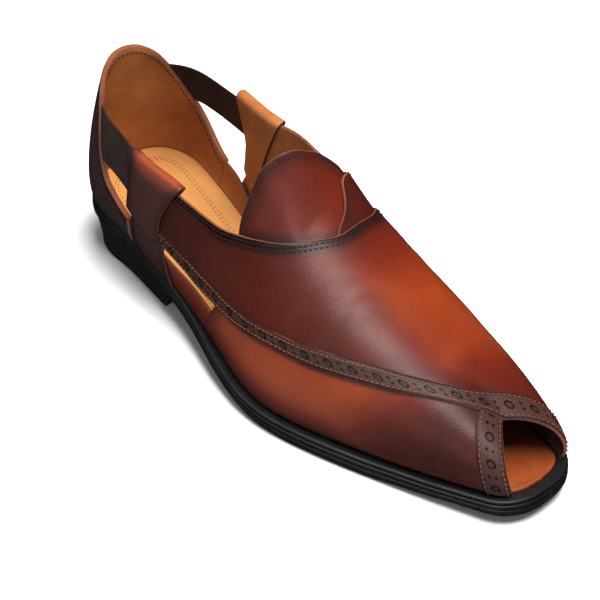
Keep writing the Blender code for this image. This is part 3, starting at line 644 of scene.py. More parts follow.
def sheet(name, outer, inner, materials, slot, values=None, outer_slots=0, inner_slots=1):
    """A closed leather panel between two grids of points, with softly rounded cut edges."""
    rows, columns = outer.shape[:2]
    number = np.arange(rows * columns).reshape(rows, columns)
    cells = grid_cells(number)
    quads = [cells, cells[:, ::-1] + rows * columns]
    slots = [np.broadcast_to(outer_slots, (rows - 1, columns - 1)).ravel(),
             np.broadcast_to(inner_slots, (rows - 1, columns - 1)).ravel()]
    i, j = border_of(rows, columns)
    away = outer[i, j] - outer[np.clip(i, 1, rows - 2), np.clip(j, 1, columns - 2)]
    away = away / (np.linalg.norm(away, axis=-1, keepdims=True) + 1e-12)
    thick = np.linalg.norm(outer[i, j] - inner[i, j], axis=-1, keepdims=True)
    points = [outer.reshape(-1, 3), inner.reshape(-1, 3)]
    loops = [number[i, j]]
    for k, (depth, bulge) in enumerate(EDGE_RINGS):
        swell = away * thick * EDGE_SWELL * bulge
        points.append(outer[i, j] * (1 - depth) + inner[i, j] * depth + swell)
        loops.append(2 * rows * columns + k * len(i) + np.arange(len(i)))
    loops.append(number[i, j] + rows * columns)
    for low, high in zip(loops[:-1], loops[1:]):
        quads.append(cells_round(low, high))
        slots.append(np.full(len(i), 2))
    spread = {}
    for key, grid in (values or {}).items():
        flat = grid.reshape(rows * columns, -1)
        border = flat[number[i, j]]
        whole = np.concatenate([flat, flat] + [border] * len(EDGE_RINGS))
        spread[key] = whole[:, 0] if grid.ndim == 2 else whole
    print(name, "grid", rows, "by", columns)
    return add_piece(name, np.concatenate(points), np.concatenate(quads), np.concatenate(slots),
                     materials, spread, slot)


def on_last(places, depth):
    """Points at a depth from the lasted surface. The foot of a panel is cut level at the welt."""
    point, normal = last_surface(places[..., 0], places[..., 1])
    face = point + normal * np.broadcast_to(depth, point.shape[:-1])[..., None]
    foot = (places[..., 1] <= 1e-6) | (places[..., 1] >= 1.0 - 1e-6)
    face[..., 2] = np.where(foot, feather(face[..., 1]), face[..., 2])
    return face


def distance_to(points, line):
    """Distance of each point of a grid from the nearest point of a line, in metres."""
    flat = points.reshape(-1, 3)
    near = [np.sqrt(((flat[k:k + 4000, None] - line[None]) ** 2).sum(axis=-1)).min(axis=1)
            for k in range(0, len(flat), 4000)]
    return np.concatenate(near).reshape(points.shape[:-1])


def fade(distance, reach):
    return np.exp(-((distance / reach) ** 2))


def darkest(*parts):
    """The strongest of several burnish values at each point."""
    return np.max(np.broadcast_arrays(*parts), axis=0)


def borders(distance, table):
    """Burnished borders from rows of strength and reach in metres."""
    return darkest(*[strength * fade(distance, reach) for strength, reach in table])
# %% [markdown]
# Burnished leather is dyed light, then darkened by hand along its edges and seams. Each panel
# carries a number at every point, 0 where the leather stays light and 1 where it is nearly black.
# The same number also holds a painted highlight on the keepers' crests and painted shade on the
# insole's toe.
# The material turns that number into colour, breaks it up with cloudy noise, and adds a fine
# grain as bump. Effects that several materials share are node groups.

# %% Shader helpers
def node(tree, kind, **inputs):
    made = tree.nodes.new(kind)
    for key, value in inputs.items():
        socket = made.inputs[key] if key in made.inputs else made.inputs[int(key.strip("_"))]
        if isinstance(value, bpy.types.NodeSocket):
            tree.links.new(value, socket)
        else:
            socket.default_value = value
    return made


def maths(tree, operation, first, second=0.0, third=0.0):
    made = node(tree, "ShaderNodeMath", _0=first, _1=second, _2=third)
    made.operation = operation
    return made.outputs[0]


def noise(tree, scale, detail=3.0, rough=0.55):
    place = tree.nodes.new("ShaderNodeTexCoord").outputs["Object"]
    made = node(tree, "ShaderNodeTexNoise", Vector=place, Scale=scale, Detail=detail, Roughness=rough)
    return made.outputs["Fac"]


def cloudy(tree, scale, rough, spread):
    """Noise round zero, with a given spread."""
    return maths(tree, "MULTIPLY", maths(tree, "SUBTRACT", noise(tree, scale, 3.0, rough), 0.5), spread)


def stored(tree, name):
    """What a mesh stores at its points under a name."""
    made = tree.nodes.new("ShaderNodeAttribute")
    made.attribute_name = name
    return made.outputs


def bumped(tree, shader, **settings):
    """Feeds a shader's normal from a bump."""
    bump = node(tree, "ShaderNodeBump", **settings)
    tree.links.new(bump.outputs["Normal"], shader.inputs["Normal"])
    return bump


def ramp(tree, value, stops):
    made = node(tree, "ShaderNodeValToRGB", Fac=value)
    line = made.color_ramp
    while len(line.elements) < len(stops):
        line.elements.new(0.5)
    for element, (place, colour) in zip(line.elements, stops):
        element.position = place
        element.color = (*colour, 1.0)
    return made.outputs["Color"]


def start_group(name, inputs, outputs, kind="NodeSocketFloat"):
    """An empty shader node group with named numbers going in and one kind of value coming out."""
    tree = bpy.data.node_groups.new(name, "ShaderNodeTree")
    for label in inputs:
        tree.interface.new_socket(label, in_out="INPUT", socket_type="NodeSocketFloat")
    for label in outputs:
        tree.interface.new_socket(label, in_out="OUTPUT", socket_type=kind)
    return tree, tree.nodes.new("NodeGroupInput").outputs, tree.nodes.new("NodeGroupOutput").inputs


def place_group(tree, group, **values):
    made = tree.nodes.new("ShaderNodeGroup")
    made.node_tree = group
    for label, value in values.items():
        made.inputs[label].default_value = value
    return made.outputs


def grain_group():
    """Fine leather grain: a web of creases round small cells, with a few larger wrinkles."""
    tree, given, out = start_group("leather_grain", ("Strength", "Cell", "Depth"), ("Normal",),
                                   "NodeSocketVector")
    place = tree.nodes.new("ShaderNodeTexCoord").outputs["Object"]
    web = node(tree, "ShaderNodeTexVoronoi", Vector=place, Scale=given["Cell"], Randomness=1.0)
    web.feature = "DISTANCE_TO_EDGE"
    edge = ramp(tree, web.outputs["Distance"], ((0.0, (0, 0, 0)), (0.35, (1, 1, 1))))
    height = maths(tree, "ADD", maths(tree, "MULTIPLY", edge, 0.35), noise(tree, 240.0, 4.0, 0.6))
    bump = node(tree, "ShaderNodeBump", Strength=given["Strength"], Distance=given["Depth"], Height=height)
    tree.links.new(bump.outputs["Normal"], out["Normal"])
    return tree


GRAIN = grain_group()
FINE_DEPTH = 0.0004
EMBOSSED_DEPTH = 0.0018


def grained(tree, shader, strength, cell, depth=FINE_DEPTH):
    made = place_group(tree, GRAIN, Strength=strength, Cell=cell, Depth=depth)
    tree.links.new(made["Normal"], shader.inputs["Normal"])


def polished(tree, shader, scale, middle, spread):
    """Roughness that wanders round a middle value."""
    worn = maths(tree, "MULTIPLY_ADD", noise(tree, scale, 3.0, 0.6), spread, middle - spread / 2.0)
    tree.links.new(worn, shader.inputs["Roughness"])


def start_material(name):
    material = bpy.data.materials.new(name)
    material.use_nodes = True
    return material, material.node_tree, material.node_tree.nodes["Principled BSDF"]


def burnished_leather(name, light, middle, dark, gloss=0.38, strength=0.22, cell=900.0, coat=0.07,
                      depth=FINE_DEPTH):
    """Aniline leather: three colours by burnish and painted light, cloudy, with grain, a worn polish and a
    coat.
    """
    material, tree, shader = start_material(name)
    cloud = maths(tree, "ADD", stored(tree, "burnish_and_painted_light")["Fac"], cloudy(tree, 30.0, 0.55, 0.42))
    amount = maths(tree, "ADD", cloud, cloudy(tree, 420.0, 0.7, 0.16))
    colour = ramp(tree, amount, ((0.0, light), (0.45, middle), (1.0, dark)))
    tree.links.new(colour, shader.inputs["Base Color"])
    polished(tree, shader, 60.0, gloss, 0.16)
    grained(tree, shader, strength, cell, depth)
    shader.inputs["Coat Weight"].default_value = coat
    shader.inputs["Coat Roughness"].default_value = 0.30
    shader.inputs["Specular IOR Level"].default_value = 0.34
    return material


def plain_leather(name, light, dark, gloss=0.5, strength=0.2, cell=1100.0):
    """Lining or raw edge: one colour with soft patches and a fine nap."""
    material, tree, shader = start_material(name)
    colour = ramp(tree, noise(tree, 45.0, 5.0, 0.65), ((0.30, dark), (0.70, light)))
    tree.links.new(colour, shader.inputs["Base Color"])
    shader.inputs["Roughness"].default_value = gloss
    grained(tree, shader, strength, cell)
    return material


# %% Leathers
VAMP_SKIN = burnished_leather("vamp_leather", (0.240, 0.036, 0.006), (0.098, 0.0105, 0.0040),
                              (0.012, 0.0045, 0.004))
BAND_SKIN = burnished_leather("band_leather", (0.070, 0.026, 0.018), (0.036, 0.016, 0.013),
                              (0.014, 0.008, 0.007), gloss=0.46, strength=0.5)
# The keepers' light colour shows mostly on the crest of each fold, where it is a painted highlight.
KEEPER_SKIN = burnished_leather("keeper_leather_look", (0.22, 0.040, 0.013), (0.058, 0.017, 0.013),
                                (0.020, 0.009, 0.008), gloss=0.44)
TONGUE_SKIN = burnished_leather("tongue_leather_look", (0.15, 0.015, 0.005), (0.060, 0.0075, 0.004),
                                (0.020, 0.007, 0.006), gloss=0.42)
COUNTER_SKIN = burnished_leather("counter_leather", (0.072, 0.030, 0.024), (0.040, 0.018, 0.015),
                                 (0.014, 0.008, 0.007), gloss=0.44, strength=1.0, cell=420.0,
                                 depth=EMBOSSED_DEPTH)
LINING = plain_leather("lining_leather", (0.40, 0.135, 0.030), (0.25, 0.070, 0.017), gloss=0.62)
RAW_EDGE = plain_leather("raw_edge", (0.20, 0.060, 0.022), (0.095, 0.028, 0.012), gloss=0.7,
                         strength=0.5)
THREAD = plain_leather("tan_thread", (0.22, 0.066, 0.022), (0.12, 0.034, 0.013), gloss=0.7)
DARK_THREAD = plain_leather("brown_thread", (0.030, 0.011, 0.008), (0.014, 0.006, 0.005), gloss=0.8)
# The vamp's lining is near-black as painted shade, since it is seen only inside the shoe.
SHADED_LINING = plain_leather("vamp_lining_painted_shade", (0.075, 0.022, 0.009), (0.035, 0.012, 0.006), gloss=0.7)
FOLD_EDGE = plain_leather("inked_edge", (0.075, 0.026, 0.014), (0.035, 0.014, 0.009), gloss=0.6,
                          strength=0.5)
INSOLE_THREAD = plain_leather("insole_thread", (0.20, 0.070, 0.022), (0.12, 0.040, 0.014), gloss=0.8)
PANEL_MATERIALS = [VAMP_SKIN, LINING, RAW_EDGE]
print("leathers", len(bpy.data.materials))

# %% [markdown]
# The vamp is the big front panel. Its lateral edge is a band with punched holes, the brogueing,
# and the band turns round the toe opening. The vamp is ruled between the throat and the band's
# inner edge, and the band is a strip of its own along the same line, so that the holes can follow
# the strip's length. Walking leaves soft creases. Each is one row of a table, and sinks the
# surface as a long shallow trough, which needs no sculpting and can be moved by its numbers.

# %% The vamp
# Station, turn, half length, half width, depth and lean of each soft crease, in metres.
VAMP_CREASES = (
    (0.585, 0.290, 0.022, 0.0040, 0.00045, 1.25),
    (0.615, 0.330, 0.026, 0.0036, 0.00040, 1.15),
    (0.648, 0.300, 0.020, 0.0042, 0.00035, 1.35),
    (0.600, 0.640, 0.024, 0.0045, 0.00040, 1.80),
    (0.640, 0.680, 0.020, 0.0040, 0.00030, 1.95),
    (0.420, 0.150, 0.020, 0.0035, 0.00035, 0.40),
    (0.385, 0.105, 0.018, 0.0035, -0.0003, 0.30),
)
CREASE_GIRTH = 0.16


def creases(places, table):
    """How far soft troughs sink a surface. A ridge has a negative depth."""
    sunk = np.zeros(places.shape[:-1])
    for station, turn, length, width, depth, lean in table:
        ahead = (places[..., 0] - station) * LENGTH
        over = (places[..., 1] - turn) * CREASE_GIRTH
        run = ahead * math.cos(lean) + over * math.sin(lean)
        off = over * math.cos(lean) - ahead * math.sin(lean)
        sunk += depth * np.exp(-((run / length) ** 2) - (off / width) ** 2)
    return sunk


BAND_TOP = (
    (0.237, 0.086),
    (0.256, 0.070),
    (0.293, 0.068),
    (0.351, 0.073),
    (0.412, 0.092),
    (0.483, 0.126),
    (0.543, 0.165),
    (0.594, 0.192),
    (0.659, 0.234),
    (0.710, 0.277),
    (0.758, 0.326),
    (0.820, 0.407),
    (0.896, 0.512),
    (0.912, 0.600),
    (0.924, 0.720),
    (0.935, 1.000),
)
BAND_CORNER = 12


def joined(*parts):
    return np.concatenate([parts[0]] + [part[1:] for part in parts[1:]])


def between(first, second, count):
    """Evenly spaced places on the straight line between two places."""
    return ruled(np.array([first]), np.array([second]), count)[0]


VAMP_COLUMNS = (110, 26, 60)
VAMP_ROWS = 90
THROAT_ENDS = (0.0, 0.50, 0.70, 1.0)
band_top_long = points_along(BAND_TOP[:BAND_CORNER + 1], VAMP_COLUMNS[0] + 1)
band_top_short = points_along(BAND_TOP[BAND_CORNER:], VAMP_COLUMNS[1] + 1)
vamp_foot = between(BAND_TOP[-1], (VAMP_FEATHER_START, 1.0), VAMP_COLUMNS[2] + 1)
throat = joined(*[points_along(VAMP_THROAT_EDGE, count + 1, start, stop)
                  for count, start, stop in zip(VAMP_COLUMNS, THROAT_ENDS[:-1], THROAT_ENDS[1:])])
vamp_places = ruled(throat, joined(band_top_long, band_top_short, vamp_foot), VAMP_ROWS)[:, ::-1]
vamp_outer = on_last(vamp_places, -creases(vamp_places, VAMP_CREASES))

# %% [markdown]
# A burnisher darkens the leather most beside the seams and the sole, where the brush stops, and
# leaves the top of the foot light. Each border is a strength and a reach, and the strongest one
# wins at every point. Painting it by hand would tie the look to one mesh.

# %% The vamp's burnish
# Strength and reach of the dark borders beside the throat, the band and the sole.
THROAT_BURNISH = ((1.05, 0.0105), (0.70, 0.024), (0.50, 0.045))
BAND_BURNISH = ((0.72, 0.011),)
FOOT_BURNISH = ((0.80, 0.012), (0.50, 0.026))
LATERAL_BURNISH = 0.66
WING_BURNISH = 0.80
TOE_BURNISH = 0.66
LEAST_BURNISH = 0.26
throat_line = on_last(throat[None], 0.0)[0]
band_line = on_last(joined(band_top_long, band_top_short)[None], 0.0)[0]
vamp_stations, vamp_turns = vamp_places[..., 0], vamp_places[..., 1]
# The vamp meets the sole only on the medial side, so its lateral half counts as far away.
FAR_AWAY = 0.2
vamp_from_foot = vamp_outer[..., 2] - feather(vamp_outer[..., 1]) + FAR_AWAY * (vamp_turns < 0.5)
wing_end = 1.0 - smooth_between(vamp_stations, 0.30, 0.58)
vamp_burnish = darkest(borders(distance_to(vamp_outer, throat_line), THROAT_BURNISH),
                       borders(distance_to(vamp_outer, band_line), BAND_BURNISH),
                       borders(vamp_from_foot, FOOT_BURNISH),
                       LATERAL_BURNISH * (1.0 - smooth_between(vamp_turns, 0.30, 0.62)),
                       WING_BURNISH * wing_end * (vamp_turns < 0.5),
                       TOE_BURNISH * smooth_between(vamp_stations, 0.70, 0.90), LEAST_BURNISH)
vamp = sheet("vamp", vamp_outer, on_last(vamp_places, -VAMP_LEATHER),
             [VAMP_SKIN, SHADED_LINING, RAW_EDGE], "upper_leather", {"burnish_and_painted_light": vamp_burnish})
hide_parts("upper")

# %% [markdown]
# The brogued band is one narrow strip. Every point of it knows how far along the strip it lies
# and how far off the middle, so one node group can punch round holes at an even pitch, with two
# pinholes between each pair, however the strip bends.

# %% A strip that knows its length, and a group that punches it
HOLE_PITCH = 0.0125
HOLE_RADIUS = 0.0021
PINHOLE_RADIUS = 0.00062
PINHOLE_SPREAD = 0.0016
PINHOLE_SOFTNESS = 0.0004
HOLE_SOFTNESS = 0.0006
# The paler floor of a hole, where light reaches it, as a share of its radius, and how far it lifts the dark
# ring of painted shade.
FLOOR_RADIUS = 0.62
FLOOR_PALENESS = 0.75


def along_and_across(face):
    """At each point of a strip: distance along it, off its middle, and in from its edge."""
    along = reach_along(face[:, face.shape[1] // 2])[:, None]
    steps = np.cumsum(np.linalg.norm(np.diff(face, axis=1), axis=2), axis=1)
    across = np.concatenate([np.zeros((len(face), 1)), steps], axis=1)
    half = across[:, -1:] / 2.0
    off = across - half
    return np.stack([np.broadcast_to(along, off.shape), off, half - abs(off)], axis=-1)


def punch_group():
    tree, given, out = start_group("punched_holes", ("Pitch",), ("Hole", "Underlay_and_shade"))
    parts = node(tree, "ShaderNodeSeparateXYZ", Vector=stored(tree, "strip")["Vector"]).outputs
    count = maths(tree, "DIVIDE", parts[0], given["Pitch"])

    def disc(shift, spread, radius, soft=HOLE_SOFTNESS):
        cell = maths(tree, "SUBTRACT", maths(tree, "FRACT", maths(tree, "ADD", count, shift)), 0.5)
        over = maths(tree, "MULTIPLY", cell, given["Pitch"])
        side = maths(tree, "SUBTRACT", maths(tree, "ABSOLUTE", parts[1]), spread)
        squares = [maths(tree, "MULTIPLY", value, value) for value in (over, side)]
        inside = maths(tree, "SUBTRACT", radius, maths(tree, "SQRT", maths(tree, "ADD", *squares)))
        made = maths(tree, "MULTIPLY_ADD", inside, 1.0 / soft, 0.5)
        made.node.use_clamp = True
        return made

    pinhole = disc(0.5, PINHOLE_SPREAD, PINHOLE_RADIUS, PINHOLE_SOFTNESS)
    hole = maths(tree, "MAXIMUM", disc(0.0, 0.0, HOLE_RADIUS), pinhole)
    centre = maths(tree, "MULTIPLY", disc(0.0, 0.0, FLOOR_RADIUS * HOLE_RADIUS), FLOOR_PALENESS)
    tree.links.new(hole, out["Hole"])
    # The ring is the hole less its paler floor: the darker layer underneath and painted shade inside the
    # hole.
    tree.links.new(maths(tree, "SUBTRACT", hole, centre), out["Underlay_and_shade"])
    return tree


PUNCH = punch_group()
HOLE_DEPTH = 0.0011


def punched(material):
    """Adds the punched holes to a leather: near-black rings, partly the darker layer underneath and partly
    painted shade in each hole, paler floors and a stepped rim.
    """
    tree = material.node_tree
    shader = tree.nodes["Principled BSDF"]
    group = place_group(tree, PUNCH, Pitch=HOLE_PITCH)
    colour, under = (shader.inputs[key].links[0].from_socket for key in ("Base Color", "Normal"))
    mixed = tree.nodes.new("ShaderNodeMix")
    mixed.data_type = "RGBA"
    tree.links.new(group["Underlay_and_shade"], mixed.inputs["Factor"])
    tree.links.new(colour, mixed.inputs["A"])
    # Near-black for the holes: the darker layer under the band and painted shade inside each hole.
    mixed.inputs["B"].default_value = (0.006, 0.003, 0.0025, 1.0)
    tree.links.new(mixed.outputs["Result"], shader.inputs["Base Color"])
    bump = bumped(tree, shader, Strength=1.0, Distance=HOLE_DEPTH, Height=group["Hole"], Normal=under)
    bump.invert = True


punched(BAND_SKIN)
BAND_MATERIALS = [BAND_SKIN, SHADED_LINING, RAW_EDGE]
BAND_ROWS = 640
BAND_CORNER_ROWS = 90
BAND_COLUMNS = 30
BAND_PROUD = 0.0004
STRIP_BURNISH = 0.30
STRIP_EDGE_BURNISH = 0.55


def strip_piece(name, places, swapped=False, depth=0.0, wall=VAMP_LEATHER):
    """A punched strip. Its places run along it in rows, or in columns where swapped."""
    face = on_last(places, depth)
    strip = along_and_across(face.swapaxes(0, 1) if swapped else face)
    off, from_edge = abs(strip[..., 1]), strip[..., 2]
    crown = BAND_PROUD * np.clip(1.0 - (off / (off + from_edge)) ** 6, 0.0, 1.0)
    burnish_and_painted_light = STRIP_BURNISH + STRIP_EDGE_BURNISH * fade(from_edge, 0.0016)
    if swapped:
        strip, crown, burnish_and_painted_light = strip.swapaxes(0, 1), crown.T, burnish_and_painted_light.T
    return sheet(name, on_last(places, depth + crown), on_last(places, depth - wall), BAND_MATERIALS,
                 "upper_leather", {"burnish_and_painted_light": burnish_and_painted_light, "strip": strip})


lower_edge = joined(points_along(VAMP_LATERAL_EDGE, BAND_ROWS),
                    between(VAMP_LATERAL_EDGE[-1], TOE_OPENING_MEDIAL, BAND_CORNER_ROWS))
upper_edge = joined(points_along(BAND_TOP[:BAND_CORNER + 1], BAND_ROWS),
                    points_along(BAND_TOP[BAND_CORNER:], BAND_CORNER_ROWS))
band_places = ruled(lower_edge, upper_edge, BAND_COLUMNS)
strip_piece("brogued_band", band_places)

# %% [markdown]
# Under the band lies the lateral toe panel, with its own punched strip along the toe opening.
# Behind it the foot is held by two low rims, and the medial wing runs from the waist up to its
# keeper. All of these lie one leather's thickness under the vamp.

# %% Toe panel, wing and rims
UNDER_TOP = LAP_DEPTH - VAMP_LEATHER
UNDER_LOW = UNDER_TOP - UNDER_LEATHER
TOE_STRIP_REAR = ((0.940, 0.000), (0.900, 0.465))
TOE_STRIP_FRONT = ((TOE_OPENING_LATERAL, 0.000), (0.960, 0.530))

panel_top = points_along(TOE_PANEL_TOP[:6], 150)
panel_low = between((TOE_PANEL_REAR, 0.0), TOE_STRIP_REAR[0], 150)
panel_places = ruled(panel_low, panel_top, 44)
panel_outer = on_last(panel_places, UNDER_TOP)

# Strength and reach of the dark borders under the band and over the sole, in metres, and at the
# panel's rear end, in stations.
UNDER_BAND_BURNISH = ((0.80, 0.0022),)
PANEL_FOOT_BURNISH = ((1.00, 0.0065), (0.70, 0.0125))
PANEL_REAR_BURNISH = ((0.90, 0.022), (0.60, 0.050))
PANEL_TOE_BURNISH = 0.78
panel_edge = on_last(lower_edge[None], 0.0)[0]
panel_height = panel_outer[..., 2] - feather(panel_outer[..., 1])
panel_stations = panel_places[..., 0]
slanted = panel_stations + 0.10 * (1.0 - np.linspace(0.0, 1.0, panel_places.shape[1])[None, :])
panel_burnish = darkest(borders(distance_to(panel_outer, panel_edge[:BAND_ROWS:4]), UNDER_BAND_BURNISH),
                        borders(panel_height, PANEL_FOOT_BURNISH),
                        borders(panel_stations - TOE_PANEL_REAR, PANEL_REAR_BURNISH),
                        PANEL_TOE_BURNISH * smooth_between(slanted, 0.70, 0.90), 0.06)
sheet("toe_panel", panel_outer, on_last(panel_places, UNDER_LOW), PANEL_MATERIALS, "upper_leather",
      {"burnish_and_painted_light": panel_burnish})
toe_strip = ruled(between(*TOE_STRIP_REAR, 90), between(*TOE_STRIP_FRONT, 90), 13).swapaxes(0, 1)
strip_piece("toe_strip", toe_strip, swapped=True, depth=UNDER_TOP, wall=UNDER_LEATHER)

wing_places = ruled(points_along(MEDIAL_WING_TOP, 120), points_along(MEDIAL_WING_LOW, 120), 40)
wing_outer = on_last(wing_places, UNDER_TOP)
wing_burnish = darkest(borders(distance_to(wing_outer, wing_outer[:, 0]), ((0.55, 0.004),)),
                       0.62 + 0.25 * smooth_between(wing_places[..., 0], 0.40, 0.52))
sheet("medial_wing", wing_outer, on_last(wing_places, UNDER_LOW), PANEL_MATERIALS, "upper_leather",
      {"burnish_and_painted_light": wing_burnish})

# %% [markdown]
# Between the heel and the waist the upper is only a low rim on each side, which leaves the foot
# bare above it. It is ruled between its foot and a height from the table.

# %% The low side rims
RIM_FACE = UNDER_TOP - (UNDER_LEATHER - RIM_LEATHER) / 2.0
RIM_BURNISH = (0.72, 0.20)
rim_stations = np.linspace(RIM_TOP[0][0], RIM_TOP[-1][0], 90)
rim_level = feather(rim_stations * LENGTH)
for side, name in ((1, "lateral_rim"), (-1, "medial_rim")):
    rises = (0.5 * GAP, rim_share[side](rim_stations) * RIM_HEIGHT)
    edges = [np.stack([rim_stations, turn_at_height(rim_stations, side, rim_level + rise)], axis=-1)
             for rise in rises]
    rim_grid = ruled(*edges[::side], 12)
    rim_burnish = np.tile(np.linspace(*RIM_BURNISH[::side], 12), (90, 1))
    sheet(name, on_last(rim_grid, RIM_FACE), on_last(rim_grid, RIM_FACE - RIM_LEATHER), PANEL_MATERIALS,
          "upper_leather", {"burnish_and_painted_light": rim_burnish})

# %% [markdown]
# The counter is the stiff cup round the heel. It is taller at the back and falls away to both
# sides. Outside it has a dark embossed leather, and inside the tan lining that the collar shows.
# Its two sides are drawn apart, so the rows at the back are redrawn as one arc.

# %% The counter
COUNTER_HALF = 70
COUNTER_COLUMNS = 40
COUNTER_CROWDING = 1.9
counter_steps = np.arange(-COUNTER_HALF, COUNTER_HALF + 1) / COUNTER_HALF
counter_reach = COUNTER_END - HEEL_END / LENGTH
counter_stations = HEEL_END / LENGTH + counter_reach * abs(counter_steps) ** COUNTER_CROWDING
counter_grid = np.zeros((2 * COUNTER_HALF + 1, COUNTER_COLUMNS, 2))
for i, station in enumerate(counter_stations):
    side = 1 if i <= COUNTER_HALF else -1
    rise = np.linspace(0.0, 1.0, COUNTER_COLUMNS) * counter_top[side](station) * COUNTER_HEIGHT
    level = feather(station * LENGTH) + rise
    counter_grid[i, :, 0] = station
    counter_grid[i, :, 1] = turn_at_height(np.full(COUNTER_COLUMNS, station), side, level)
counter_grid = counter_grid[::-1]


def rounded_back(face, reach=9):
    """Redraws the rows beside the middle of the back as one smooth arc."""
    first, last = COUNTER_HALF - reach, COUNTER_HALF + reach
    slope_in = (face[first] - face[first - 3]) / 3.0 * 2.0 * reach
    slope_out = (face[last + 3] - face[last]) / 3.0 * 2.0 * reach
    s = (np.arange(1, 2 * reach) / (2.0 * reach))[:, None, None]
    arc = (1 + 2 * s) * (1 - s) ** 2 * face[first] + s * (1 - s) ** 2 * slope_in
    arc = arc + s**2 * (3 - 2 * s) * face[last] + s**2 * (s - 1) * slope_out
    return np.concatenate([face[:first + 1], arc, face[last:]])


counter_outer = rounded_back(on_last(counter_grid, 0.0))
counter_inner = rounded_back(on_last(counter_grid, -COUNTER_WALL))
counter_burnish = darkest(borders(distance_to(counter_outer, counter_outer[:, -1]), ((0.8, 0.005),)), 0.40)
sheet("counter", counter_outer, counter_inner, [COUNTER_SKIN, LINING, RAW_EDGE],
      "upper_leather", {"burnish_and_painted_light": counter_burnish})

# %% [markdown]
# The tongue is a round-ended tab under the throat. Its bare end lifts a little off the foot, as
# leather does where nothing holds it.

# %% The tongue
TONGUE_MIDDLE = 0.45
TONGUE_NARROWING = 0.55
# Turns between which the tongue sinks from under the vamp to under the medial wing, half the
# turn over which it is bare, the turn over which its lift fades, and the station of full lift.
TONGUE_SINK = (0.32, 0.40)
TONGUE_BARE = 0.18
TONGUE_FADE = 0.16
TONGUE_LIFTED = 0.43
tongue_turns = np.linspace(TONGUE_TIP[0][0], TONGUE_TIP[-1][0], 90)
tongue_rear = np.stack([tongue_tip(tongue_turns), tongue_turns], axis=-1)
front_turns = 0.5 + (tongue_turns - 0.5) * TONGUE_NARROWING
tongue_front = np.stack([np.full(90, TONGUE_FRONT), front_turns], axis=-1)
tongue_grid = ruled(tongue_rear, tongue_front, 60).swapaxes(0, 1)
stations, turns = tongue_grid[..., 0], tongue_grid[..., 1]
under_vamp = -VAMP_LEATHER - GAP
tongue_depth = under_vamp + (UNDER_LOW - GAP - under_vamp) * smooth_between(turns, *TONGUE_SINK)
bare = smooth_step((TONGUE_BARE - abs(turns - TONGUE_MIDDLE)) / TONGUE_FADE)
lean = np.clip((TONGUE_COVERED - stations) / (TONGUE_COVERED - TONGUE_LIFTED), 0.0, 1.1) ** 1.2
tongue_depth = tongue_depth + TONGUE_RISE * bare * lean
tongue_face = on_last(tongue_grid, tongue_depth)
tongue_burnish = darkest(borders(distance_to(tongue_face, throat_line), ((0.9, 0.006),)),
                         borders(distance_to(tongue_face, tongue_face[0]), ((0.85, 0.0050), (0.60, 0.0120))),
                         0.34)
tongue = sheet("tongue", tongue_face, on_last(tongue_grid, tongue_depth - TONGUE_LEATHER),
               [TONGUE_SKIN, LINING, RAW_EDGE], "tongue_leather", {"burnish_and_painted_light": tongue_burnish})
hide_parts("tongue")

# %% [markdown]
# Each keeper is an upright strap. It stands up from the sole, passes inside the wing, folds over
# the top and comes down outside to the seam that closes it. The fold is a tunnel for the elastic.

# %% The keepers
def keeper_path(seam_share, tunnel_height, wing_inner):
    """Heights and depths of a keeper's middle line, from the sole over the top to the seam."""
    inner = wing_inner - TUNNEL_CLEARANCE - STRAP_LEATHER / 2.0
    foot = -0.2 * STRAP_LEATHER
    outer = foot + STRAP_LEATHER + GAP
    radius = (outer - inner) / 2.0
    seam = seam_share * tunnel_height
    crossing = 0.5 * (seam_share - 0.11) * tunnel_height
    straight_top = tunnel_height - radius
    share = np.linspace(0.0, 1.0, 16)
    angle = np.pi * share
    heights = [share * (seam - crossing), seam - crossing + crossing * share[1:],
               seam + (straight_top - seam) * share[1:], straight_top + radius * np.sin(angle[1:]),
               straight_top + (seam - straight_top) * share[1:]]
    depths = [np.full(16, foot), foot + (inner - foot) * smooth_step(share[1:]), np.full(15, inner),
              (outer + inner) / 2.0 - radius * np.cos(angle[1:]), np.full(15, outer)]
    return np.concatenate(heights), np.concatenate(depths)


def wing_inside(side):
    return -VAMP_LEATHER if side > 0 else UNDER_LOW


KEEPER_COLUMNS = 30
FOLD_START = 46
FOLD_CREST = 56
# Burnish of a strap, and strength and reach of its rear and front edge and of its foot, darker,
# and of its crest, lighter, which is a painted highlight along the fold. Reaches are shares of its
# width and height.
STRAP_BURNISH = 0.48
STRAP_REAR = (0.50, 0.14)
STRAP_FRONT = (0.35, 0.10)
STRAP_FOOT = (0.35, 0.25)
STRAP_CREST_HIGHLIGHT = (0.55, 0.10)


def border(distance, row):
    return row[0] * fade(distance, row[1])


